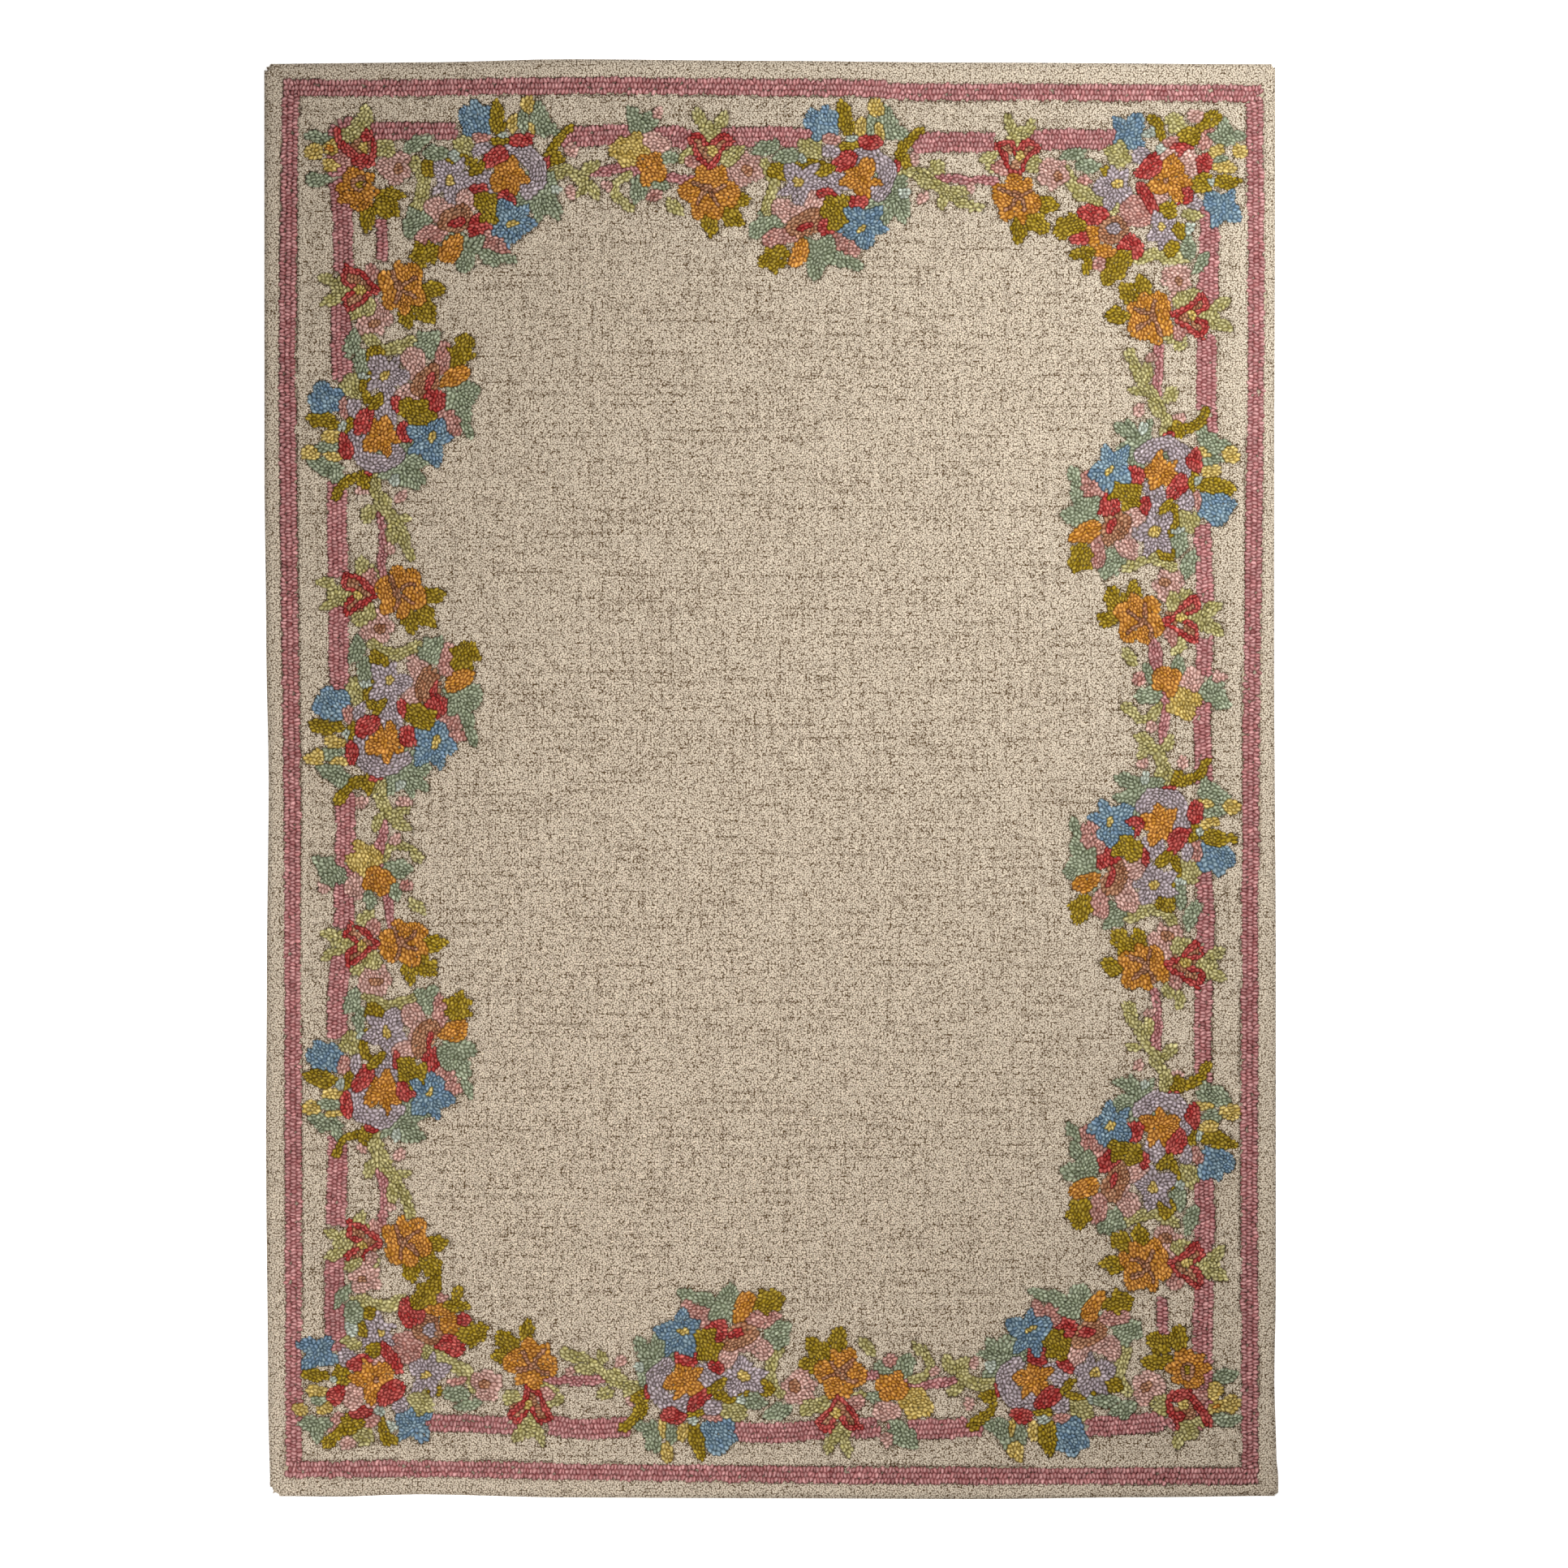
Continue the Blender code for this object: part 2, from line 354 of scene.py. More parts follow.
# The fuller bouquet that turns a corner, round a point near its orange flower
CORNER_BOUQUET = (
    vine(Wool.CELERY, 21, (-130, -32), (-112, -6), (-86, 8), (-56, 20)),
    vine(Wool.CELERY, 18, (-22, 98), (4, 90), (28, 95), (52, 92)),
    leaf(Wool.SAGE, -118, -60, 44, 18, -15),
    leaf(Wool.SAGE, -96, -42, 40, 21, 5),
    star(Wool.BLUSH, -146, -30, 24, 5, 20),
    oval(Wool.TAUPE, -142, -28, 14, 16),
    spiked(Wool.BLUE, -36, -92, 31, 4, 45),
    oval(Wool.AQUA, -5, -91, 20, 17),
    vine(Wool.OLIVE, 14, (-6, -114), (7, -108), (11, -84)),
    leaf(Wool.CELERY, 36, -106, 36, 27, 30),
    oval(Wool.BLUSH, 60, -115, 24, 19),
    oval(Wool.ROSE, 29, -80, 30, 20),
    vine(Wool.ROSE, 15, (86, -92), (74, -74)),
    vine(Wool.OLIVE, 17, (90, -116), (72, -98), (54, -87)),
    oval(Wool.OLIVE, 54, -86, 36, 28, -20),
    leaf(Wool.SAGE, 109, -87, 54, 24),
    leaf(Wool.SAGE, 106, -100, 34, 20, 90),
    oval(Wool.YELLOW, 96, -62, 24, 20),
    oval(Wool.YELLOW, 130, -64, 26, 18),
    oval(Wool.YELLOW, 107, -40, 34, 18, 10),
    oval(Wool.SAGE, 104, -52, 22, 11),
    oval(Wool.AQUA, 14, -67, 16, 14),
    oval(Wool.RED, 40, -67, 36, 20),
    oval(Wool.BLUSH, 54, -47, 32, 40),
    oval(Wool.BLUSH, 25, -56, 24, 18),
    oval(Wool.RED, 79, -44, 26, 30),
    star(Wool.CELERY, -48, -57, 19, 4, 20),
    oval(Wool.OLIVE, -67, -36, 22, 18),
    oval(Wool.ROSE, -101, -22, 26, 12),
    spiked(Wool.LAVENDER, -58, -12, 33, 5, 30),
    oval(Wool.YELLOW, -55, -16, 17, 13),
    oval(Wool.LAVENDER, -17, -58, 24, 29, 20),
    oval(Wool.BLUSH, 4, 0, 38, 32),
    oval(Wool.OLIVE, 73, -17, 30, 31),
    leaf(Wool.OLIVE, 110, -16, 46, 20, 5),
    oval(Wool.AQUA, 85, -19, 13, 11),
    spiked(Wool.BLUE, 104, 19, 31, 4, 30),
    oval(Wool.LAVENDER, 61, 13, 26, 26),
    oval(Wool.RED, 43, 0, 34, 34),
    spiked(Wool.ORANGE, 23, -23, 36, 5, 70),
    oval(Wool.TAUPE, 21, -22, 10, 10),
    oval(Wool.RED, -5, -41, 48, 29, -40),
    oval(Wool.ROSE, -24, 27, 54, 46, 20),
    vine(Wool.RED, 17, (-15, -6), (-4, 12), (7, 26)),
    oval(Wool.RED, -90, 31, 47, 29, 10),
    leaf(Wool.OLIVE, -124, 51, 50, 36, -20),
    oval(Wool.ORANGE, -88, 62, 25, 32),
    oval(Wool.ORANGE, -70, 86, 36, 28, 20),
    oval(Wool.TAUPE, -58, 52, 43, 41),
    oval(Wool.LAVENDER, -58, 50, 21, 19),
    oval(Wool.RED, -111, 68, 24, 20),
    oval(Wool.OLIVE, -102, 87, 38, 17, -8),
    oval(Wool.OLIVE, -100, 106, 30, 16, 95),
    oval(Wool.ROSE, -78, 105, 21, 18),
    oval(Wool.RED, -32, 80, 46, 36, 60),
    leaf(Wool.OLIVE, -54, 107, 62, 34, -52),
    leaf(Wool.CELERY, 58, 31, 36, 17, 10),
    spiked(Wool.LAVENDER, 16, 52, 31, 5, 15),
    oval(Wool.YELLOW, 13, 48, 14, 11),
    oval(Wool.OLIVE, 24, 23, 25, 23),
    leaf(Wool.OLIVE, 41, 56, 32, 19, 65),
    oval(Wool.OLIVE, 29, 80, 19, 24),
    oval(Wool.AQUA, 55, 54, 15, 23),
    oval(Wool.SAGE, 53, 79, 25, 34, 10),
    leaf(Wool.SAGE, 70, 103, 42, 17, -50),
    star(Wool.BLUSH, 36, 128, 24, 5, 10),
    oval(Wool.TAUPE, 40, 127, 14, 12),
    oval(Wool.BLUSH, 25, 157, 22, 22),
    leaf(Wool.CELERY, 54, 150, 32, 16, -40),
)

# Where the motifs lie; the vine under a bouquet leads to the next single flower on its side
PLACEMENTS = (
    Placement(LONG_VINE + BOUQUET, -423.5, 881.1, Facing.TOP),
    Placement(SHORT_VINE + BOUQUET, 95.5, 876.3, Facing.TOP),
    Placement(CORNER_FLOWER, -611.8, 873.2, Facing.TOP),
    Placement(SINGLE_FLOWER, -94.0, 872.7, Facing.TOP),
    Placement(SINGLE_FLOWER, 363.4, 863.0, Facing.TOP),
    Placement(CORNER_BOUQUET, 566.2, 869.0, Facing.TOP),
    Placement(SHORT_VINE + BOUQUET, -563.5, 545.6, Facing.LEFT),
    Placement(LONG_VINE + BOUQUET, -557.5, 91.7, Facing.LEFT),
    Placement(SHORT_VINE + BOUQUET, -563.5, -430.9, Facing.LEFT),
    Placement(SINGLE_FLOWER, -550.3, 730.2, Facing.LEFT),
    Placement(SINGLE_FLOWER, -551.5, 276.4, Facing.LEFT),
    Placement(SINGLE_FLOWER, -548.0, -242.6, Facing.LEFT),
    Placement(SINGLE_FLOWER, -544.3, -688.0, Facing.LEFT),
    Placement(LONG_VINE + BOUQUET, 424.0, -876.0, Facing.BOTTOM),
    Placement(SHORT_VINE + BOUQUET, -96.0, -878.0, Facing.BOTTOM),
    Placement(CORNER_FLOWER, 614.5, -869.0, Facing.BOTTOM),
    Placement(SINGLE_FLOWER, 101.5, -881.1, Facing.BOTTOM),
    Placement(SINGLE_FLOWER, -357.1, -869.0, Facing.BOTTOM),
    Placement(CORNER_BOUQUET, -569.0, -871.0, Facing.BOTTOM),
    Placement(SHORT_VINE + BOUQUET, 559.0, -552.8, Facing.RIGHT),
    Placement(LONG_VINE + BOUQUET, 560.2, -101.4, Facing.RIGHT),
    Placement(SHORT_VINE + BOUQUET, 559.0, 421.2, Facing.RIGHT),
    Placement(SINGLE_FLOWER, 554.1, -724.2, Facing.RIGHT),
    Placement(SINGLE_FLOWER, 554.1, -277.6, Facing.RIGHT),
    Placement(SINGLE_FLOWER, 548.1, 235.4, Facing.RIGHT),
    Placement(SINGLE_FLOWER, 561.4, 685.6, Facing.RIGHT),
)


@dataclass(frozen=True)
class BandRun:
    """A run of a pink band along one side, in millimetres.

    Attributes:
        width: Full width of the band.
        points: Points of its middle line across and along the rug.
    """

    width: float
    points: tuple[tuple[float, float], ...]


OUTER_BAND_WIDTH = 24.5
INNER_BAND_WIDTH = 29.0
SLIM_BAND_WIDTH = INNER_BAND_WIDTH * 0.9
THIN_BAND_WIDTH = 16.0


def outer(*points: tuple[float, float]) -> BandRun:
    """A run of the outer band through the given points."""
    return BandRun(OUTER_BAND_WIDTH, points)


def inner(*points: tuple[float, float]) -> BandRun:
    """A run of the inner band at its full width."""
    return BandRun(INNER_BAND_WIDTH, points)


def slim(*points: tuple[float, float]) -> BandRun:
    """A run of the inner band where it is a little narrower."""
    return BandRun(SLIM_BAND_WIDTH, points)


def thin(*points: tuple[float, float]) -> BandRun:
    """A run of the thin band beside the inner one."""
    return BandRun(THIN_BAND_WIDTH, points)


# The outer band's middle line, one run for each side, each out to the corner's edge
OUTER_BANDS = (
    outer((-715, 1040), (-720, 600), (-717, 300), (-713, 0), (-712, -300), (-710, -1038)),
    outer((717, 1031), (720, 700), (716, 330), (712, 0), (710, -500), (711, -1048)),
    outer((-722, -1026), (-500, -1025), (-300, -1029), (0, -1033), (200, -1035), (723, -1036)),
    outer(
        (-727, 1028), (-560, 1027), (-280, 1031), (0, 1028), (150, 1027), (190, 1022), (400, 1021),
        (728, 1019),
    ),
)

# Runs of the inner band between the flowers, one after another round the rug
INNER_BANDS = (
    inner((-645, 890), (-647, 940), (-640, 966), (-610, 969)),
    slim((-596, 963), (-530, 963), (-470, 963)),
    inner((-312, 953), (-250, 957), (-190, 957)),
    inner((-175, 954), (-140, 955), (-112, 944)),
    inner((-78, 953), (0, 955), (58, 952)),
    inner((206, 943), (260, 947), (330, 946)),
    inner((378, 950), (440, 951), (520, 950)),
    inner((652, 850), (650, 780), (648, 700)),
    inner((646, 660), (646, 560), (648, 516)),
    slim((640, 380), (642, 320), (646, 255)),
    slim((644, 210), (640, 100), (642, -6)),
    slim((642, -138), (645, -200), (644, -258)),
    slim((642, -300), (640, -380), (642, -452)),
    inner((640, -585), (644, -640), (642, -704)),
    inner((642, -745), (640, -850), (640, -945), (590, -958)),
    inner((585, -955), (520, -960), (470, -962)),
    inner((314, -962), (240, -966), (175, -966)),
    inner((160, -962), (130, -965), (118, -955)),
    inner((80, -966), (0, -972), (-58, -970)),
    inner((-208, -962), (-280, -966), (-330, -960)),
    slim((-375, -962), (-450, -958), (-525, -957)),
    inner((-648, -850), (-650, -780), (-650, -706)),
    inner((-648, -664), (-646, -600), (-645, -532)),
    inner((-646, -386), (-645, -320), (-640, -264)),
    inner((-636, -222), (-634, -120), (-634, -20)),
    inner((-642, 126), (-644, 200), (-643, 254)),
    inner((-644, 300), (-646, 370), (-646, 440)),
    inner((-638, 592), (-640, 640), (-640, 706)),
    inner((-636, 752), (-637, 810), (-640, 856), (-645, 890)),
)

# Runs of the thin band where no vine carries it
THIN_BANDS = (
    thin((-578, 770), (-580, 835)),
    thin((580, -770), (582, -835)),
)

# The border's chart: lengths in millimetres, then numbers of things
GROUND = -1
RASTER_STEP = 1.25
CHART_MARGIN = 10.0
SHAPE_WARP = 1.2
BAND_WARP = 0.5
MOST_WARP = 6.0
WARP_LENGTHS = (22, 52)
WARP_WAVES = 6
CURVE_STEPS = 6
LEAST_SHAPE_CELLS = 7

# Reading the outline from the solid, in millimetres but for the ratio of the rug's sides
WALL_HEIGHTS = (1.0, 2.2)
RUG_RATIO = 1.4
CORNER_CLEAR = 26.0

# How copies of a motif differ: spreads in millimetres or degrees, and a shape's growth and its spread
PATCH_SHIFT = 1.1
PATCH_TURN = 4
VINE_SHIFT = 1.2
PATCH_GROWTH = (1.02, 0.04)
PATCH_REACH = 1.2

# Forms of leaves, ovals and flowers, as shares of their half sizes, but for the plain width
LEAF_BEND = 0.16
LEAF_RAGGED = 0.08
LEAF_RAGGED_MORE = 0.010
LEAF_PLAIN_WIDTH = 20
LEAF_LOBES = 2.6
LEAF_OFFSET = 1.3
LEAF_POINT = 2.1
LEAF_BELLY = 0.85
OVAL_DENT = 0.06
PETAL_BEND = 0.22
PETAL_UNEVEN = 0.05
SPIKE_CORE = 0.54
SPIKE_PETAL = 0.54
STAR_CORE = 0.74
STAR_PETAL = 0.30

# Noise: share of the slow part that is taken out, the spread that is left, and cells of a swing
CRISP_SHARE = 0.75
CRISP_SPREAD = 1.07
BEAT_CELLS = 9

# Heights of the pile, and spreads from loop to loop, in millimetres
CLOTH_TOP = 4.5
GROUND_TOP = 10.2
GROUND_VALLEY = 8.0
GROUND_BRIM = 9.8
GROUND_SINK = 4.3
EDGE_FOOT = 1.4
VALLEY_UNEVEN = 0.15
CELL_UNEVEN = 0.35
COARSE_TOP = 12.0
COARSE_GAP = 8.4
COARSE_FOOT = 4.3
SHOULDER_DROP = 1.1
RIM_GAP_DROP = 1.4
RIM_SHOULDER_DROP = 0.5
TOP_UNEVEN = 0.28
SHOULDER_UNEVEN = 0.18
RIDGE_UNEVEN = 0.12

# The rug's rim: how far in it reaches and how far it falls, in millimetres
RIM_REACH = 10.0
RIM_DROP = 4.6
EDGE_MARGIN = 0.8
EDGE_WIDTH = 2.2

# The cloth's rim, from the underside up: how far in from the outline, and how high
CLOTH_RIM = ((2.8, 0.0), (2.0, 0.5), (2.0, 3.4), (3.2, CLOTH_TOP))
BAKE_MARGIN = 1.02

# Coarse loops: lengths in millimetres and areas in square millimetres
BAND_ROW = 8.0
BAND_LOOP = 5.3
ROW_SLIDE = 0.9
LOOP_AREA = 33.0
LEAST_LOOP_AREA = 9.0
LOOP_REACH = 4.7
LEAST_REACH = 1.1
NOT_MET = 99.0
SHOULDER_IN = 1.15
LOOP_HOLD = 4.9
ROW_HOLD = 6.6

# Coarse loops: ratios, spreads of turns in radians, and numbers of things
LOOP_STRETCH = 1.18
FOOT_TUCK = 1.22
SHOULDER_LEAST = 0.6
RIDGE_REACH = 0.4
MET_MARGIN = 1.12
TINY = 1e-3
LOOP_LEAN = 0.42
RING_UNEVEN = 0.12
NEIGHBOURS = 11
LOOP_POINTS = 14
RELAX_ROUNDS = 8

# Painted shade of a coarse loop, as a share from 0 the crevice's painted shade colour to 1 the wool's full
# colour, lowered at a shape's rim as painted shadow: pairs are a middle and a spread, or limits
SHOULDER_SHARE = 0.54
FOOT_SHARE = (0.18, 0.26)
FOOT_SHARE_MOST = 0.6
RIM_FOOT_SHADE = 0.15
RIM_SHOULDER_SHADE = 0.08
SHARE_UNEVEN = 0.12
LOOP_SHADE = (-0.02, 0.12)
LOOP_SHADE_LIMITS = (0.6, 1.1)
SHAPE_TONE = 0.06
LOOP_TONE = 0.25
TONE_LIMITS = (-0.2, 1.2)

# Cells of the ground: lengths in millimetres, then the zigzag of their corners as shares of a cell
GROUND_PITCH = 4.8
FIELD_FROM = 60.0
BAND_BACK = 36.0
FIELD_SWAY = 1.05
STRIP_SWAY = 0.75
FIELD_ZIG = 0.26
STRIP_ZIG = 0.2

# Finest loops of the ground's shader, to a metre
FINE_LOOPS = 390.0

# Tone of the ground: streaks as axis, length in cells and share, then single cells and columns
STREAKS = ((0, 9, 0.02), (1, 12, 0.02), (0, 3, 0.03), (1, 3, 0.03))
CELL_TONE = 0.13
COLUMN_TONE = 0.05
COLUMN_LENGTH = 16
COLUMN_PERIOD = 2.9

# Pits of the ground: runs as axis, length in cells and weight, then how they add up to a height share,
# which also sets the painted shade in the pits; last the painted shadow share along the motifs' edges
PIT_RUNS = ((0, 35, 0.75), (1, 23, 0.6))
PIT_PERIOD = 3.3
PIT_STRENGTH = (1.0, 0.6)
PIT_RUN_FROM = 0.2
PIT_RUN_MOST = 2.2
FIELD_PITS = -0.15
STRIP_PITS = -1.1
PIT_DEEPEST = 2.6
FULL_SHARE = 0.95
PIT_SHARE = 0.21
LEAST_SHARE = 0.05
MOTIF_EDGE_SHADE = 0.3

# Radius of the outline's rounded corners, in millimetres, by the signs of x and y
CORNER_RADII = {(-1, 1): 18.0, (1, 1): 8.5, (-1, -1): 20.0, (1, -1): 8.5}


def smoothed(points: np.ndarray) -> np.ndarray:
    """Puts a smooth open curve through points.

    Args:
        points: The points, one in each row.

    Returns:
        Points of the curve, one in each row.
    """
    wide = np.vstack([2 * points[0] - points[1], points, 2 * points[-1] - points[-2]])
    t = np.linspace(0, 1, CURVE_STEPS, endpoint=False)[:, None]
    runs = []
    for a, b, c, d in zip(wide, wide[1:], wide[2:], wide[3:]):
        bend = 2 * a - 5 * b + 4 * c - d
        runs.append(0.5 * (2 * b + (c - a) * t + bend * t**2 + (3 * b - a - 3 * c + d) * t**3))
    runs.append(wide[-2][None])
    return np.vstack(runs)


def spread(points: np.ndarray, gap: float) -> tuple[np.ndarray, np.ndarray]:
    """Places even steps along a line of points.

    Args:
        points: The line's points.
        gap: Distance between steps.

    Returns:
        The places, and the line's direction at each.
    """
    legs = np.diff(points, axis=0)
    lengths = np.hypot(*legs.T)
    run = np.concatenate([[0], np.cumsum(lengths)])
    count = max(1, round(run[-1] / gap))
    where = (np.arange(count) + 0.5) * run[-1] / count
    places = np.column_stack([np.interp(where, run, points[:, k]) for k in (0, 1)])
    leg = np.clip(np.searchsorted(run, where) - 1, 0, len(legs) - 1)
    return places, legs[leg] / lengths[leg, None]


def crisp(noise: np.ndarray) -> np.ndarray:
    """Takes the slow part out of a grid of noise, so that neighbours differ and wide areas don't."""
    wide = np.pad(noise, 1, mode="edge")
    around = (wide[2:, 1:-1] + wide[:-2, 1:-1] + wide[1:-1, 2:] + wide[1:-1, :-2]) / 4
    return (noise - CRISP_SHARE * around) / CRISP_SPREAD


def convolved(noise: np.ndarray, axis: int, kernel: np.ndarray) -> np.ndarray:
    """Spreads a grid of noise along one axis by a kernel."""
    return np.apply_along_axis(np.convolve, axis, noise, kernel, "same")


def hump(length: int) -> np.ndarray:
    """A kernel that rises and falls over a number of cells."""
    return np.hanning(length + 2)[1:-1]


def beat(period: float) -> np.ndarray:
    """A short kernel that swings up and down, so that noise comes back after a number of cells."""
    return np.hanning(BEAT_CELLS) * np.cos(2 * math.pi * (np.arange(BEAT_CELLS) - BEAT_CELLS // 2) / period)


def rim_fall(depth: np.ndarray) -> np.ndarray:
    """How far the pile has come down at a distance in from the rug's outline."""
    return RIM_DROP * np.clip(1 - depth / RIM_REACH, 0, 1) ** 2


@dataclass
class RugOutline:
    """The rug's outline as its solid has it, in millimetres.

    Attributes:
        ring: Points round the widest line of the solid, in order.
    """

    ring: np.ndarray

    @classmethod
    def from_solid(cls, node: bpy.types.Object) -> RugOutline:
        """Reads the outline from the solid's widest ring.

        Args:
            node: The rug's node of the frame.

        Returns:
            The outline.
        """
        points = np.empty(len(node.data.vertices) * 3)
        node.data.vertices.foreach_get("co", points)
        points = np.round(points.reshape(-1, 3) / MM, 2)
        low, high = WALL_HEIGHTS
        wall = np.unique(points[(points[:, 2] > low) & (points[:, 2] < high), :2], axis=0)
        return cls(wall[np.argsort(np.arctan2(wall[:, 1] / RUG_RATIO, wall[:, 0]))])

    def __post_init__(self) -> None:
        """Makes the tables of the four sides, without the rounded corners."""
        ring = self.ring
        self.low = ring.min(axis=0)
        self.high = ring.max(axis=0)
        low = self.low + CORNER_CLEAR
        high = self.high - CORNER_CLEAR
        tall = (ring[:, 1] > low[1]) & (ring[:, 1] < high[1])
        wide = (ring[:, 0] > low[0]) & (ring[:, 0] < high[0])
        self.left = self.table(ring[tall & (ring[:, 0] < 0)], 1)
        self.right = self.table(ring[tall & (ring[:, 0] > 0)], 1)
        self.bottom = self.table(ring[wide & (ring[:, 1] < 0)], 0)
        self.top = self.table(ring[wide & (ring[:, 1] > 0)], 0)

    @staticmethod
    def table(points: np.ndarray, along: int) -> np.ndarray:
        """Sorts a side's points into a table.

        Args:
            points: Points of one side.
            along: Index of the coordinate that runs along the side.

        Returns:
            Two rows, the place along the side and the side's own place.
        """
        points = points[np.argsort(points[:, along])]
        return np.array([points[:, along], points[:, 1 - along]])

    def sides(self, x: np.ndarray, y: np.ndarray) -> tuple[np.ndarray, ...]:
        """The four sides' places, left, right, bottom and top, beside each point."""
        return (
            np.interp(y, *self.left),
            np.interp(y, *self.right),
            np.interp(x, *self.bottom),
            np.interp(x, *self.top),
        )

    def inside(self, x: np.ndarray, y: np.ndarray) -> np.ndarray:
        """Distance of each point in from the outline, rounded corners included."""
        left, right, bottom, top = self.sides(x, y)
        across = np.minimum(x - left, right - x)
        along = np.minimum(y - bottom, top - y)
        depth = np.minimum(across, along)
        for (sx, sy), radius in CORNER_RADII.items():
            near = (x * sx > 0) & (y * sy > 0) & (across < radius) & (along < radius)
            rounded = radius - np.hypot(radius - across, radius - along)
            depth = np.where(near, rounded, depth)
        return depth

    def lattice(self, s: np.ndarray, t: np.ndarray) -> tuple[np.ndarray, np.ndarray]:
        """Places points given as shares of the rug's width and length.

        Args:
            s: Share of the width from the left.
            t: Share of the length from the bottom.

        Returns:
            The points' x and y.
        """
        x0 = self.low[0] + s * (self.high[0] - self.low[0])
        y0 = self.low[1] + t * (self.high[1] - self.low[1])
        left, right, bottom, top = self.sides(x0, y0)
        return left + s * (right - left), bottom + t * (top - bottom)

    def inset_ring(self, inset: float) -> np.ndarray:
        """The ring moved inward.

        Args:
            inset: How far each point moves.

        Returns:
            The moved points.
        """
        ring = self.ring
        tangent = np.roll(ring, -1, axis=0) - np.roll(ring, 1, axis=0)
        normal = np.column_stack([-tangent[:, 1], tangent[:, 0]]) / np.hypot(*tangent.T)[:, None]
        return ring + normal * inset


@dataclass
class Grain:
    """Which way the loops of a shape lie: along its spine, or out from its middle.

    Attributes:
        points: Points of the spine, in millimetres.
        angles: Angle of the spine at each point.
        radial: Whether the loops point out from the first point instead.
    """

    points: np.ndarray
    angles: np.ndarray
    radial: bool = False

    def at(self, spots: np.ndarray) -> np.ndarray:
        """The angle that a loop at each spot lies at."""
        away = spots[:, None] - self.points[None]
        if self.radial:
            return np.arctan2(away[:, 0, 1], away[:, 0, 0])
        return self.angles[(away**2).sum(axis=2).argmin(axis=1)]


@dataclass
class Region:
    """The loops of one patch, vine or band before they are built.

    Attributes:
        wool: Its wool.
        places: Middle of each loop, in millimetres.
        axes: Angle of each loop's long axis.
    """

    wool: Wool
    places: np.ndarray
    axes: np.ndarray


def loop_measure(axes: np.ndarray) -> np.ndarray:
    """How distance counts round each loop: less along its own axis than across it.

    Args:
        axes: Angle of each loop's long axis.

    Returns:
        A two by two matrix for each loop.
    """
    along = np.stack([np.cos(axes), np.sin(axes)], axis=-1)
    across = np.stack([-np.sin(axes), np.cos(axes)], axis=-1)
    first = along[..., :, None] * along[..., None, :]
    second = across[..., :, None] * across[..., None, :]
    return first / LOOP_STRETCH**2 + second * LOOP_STRETCH**2


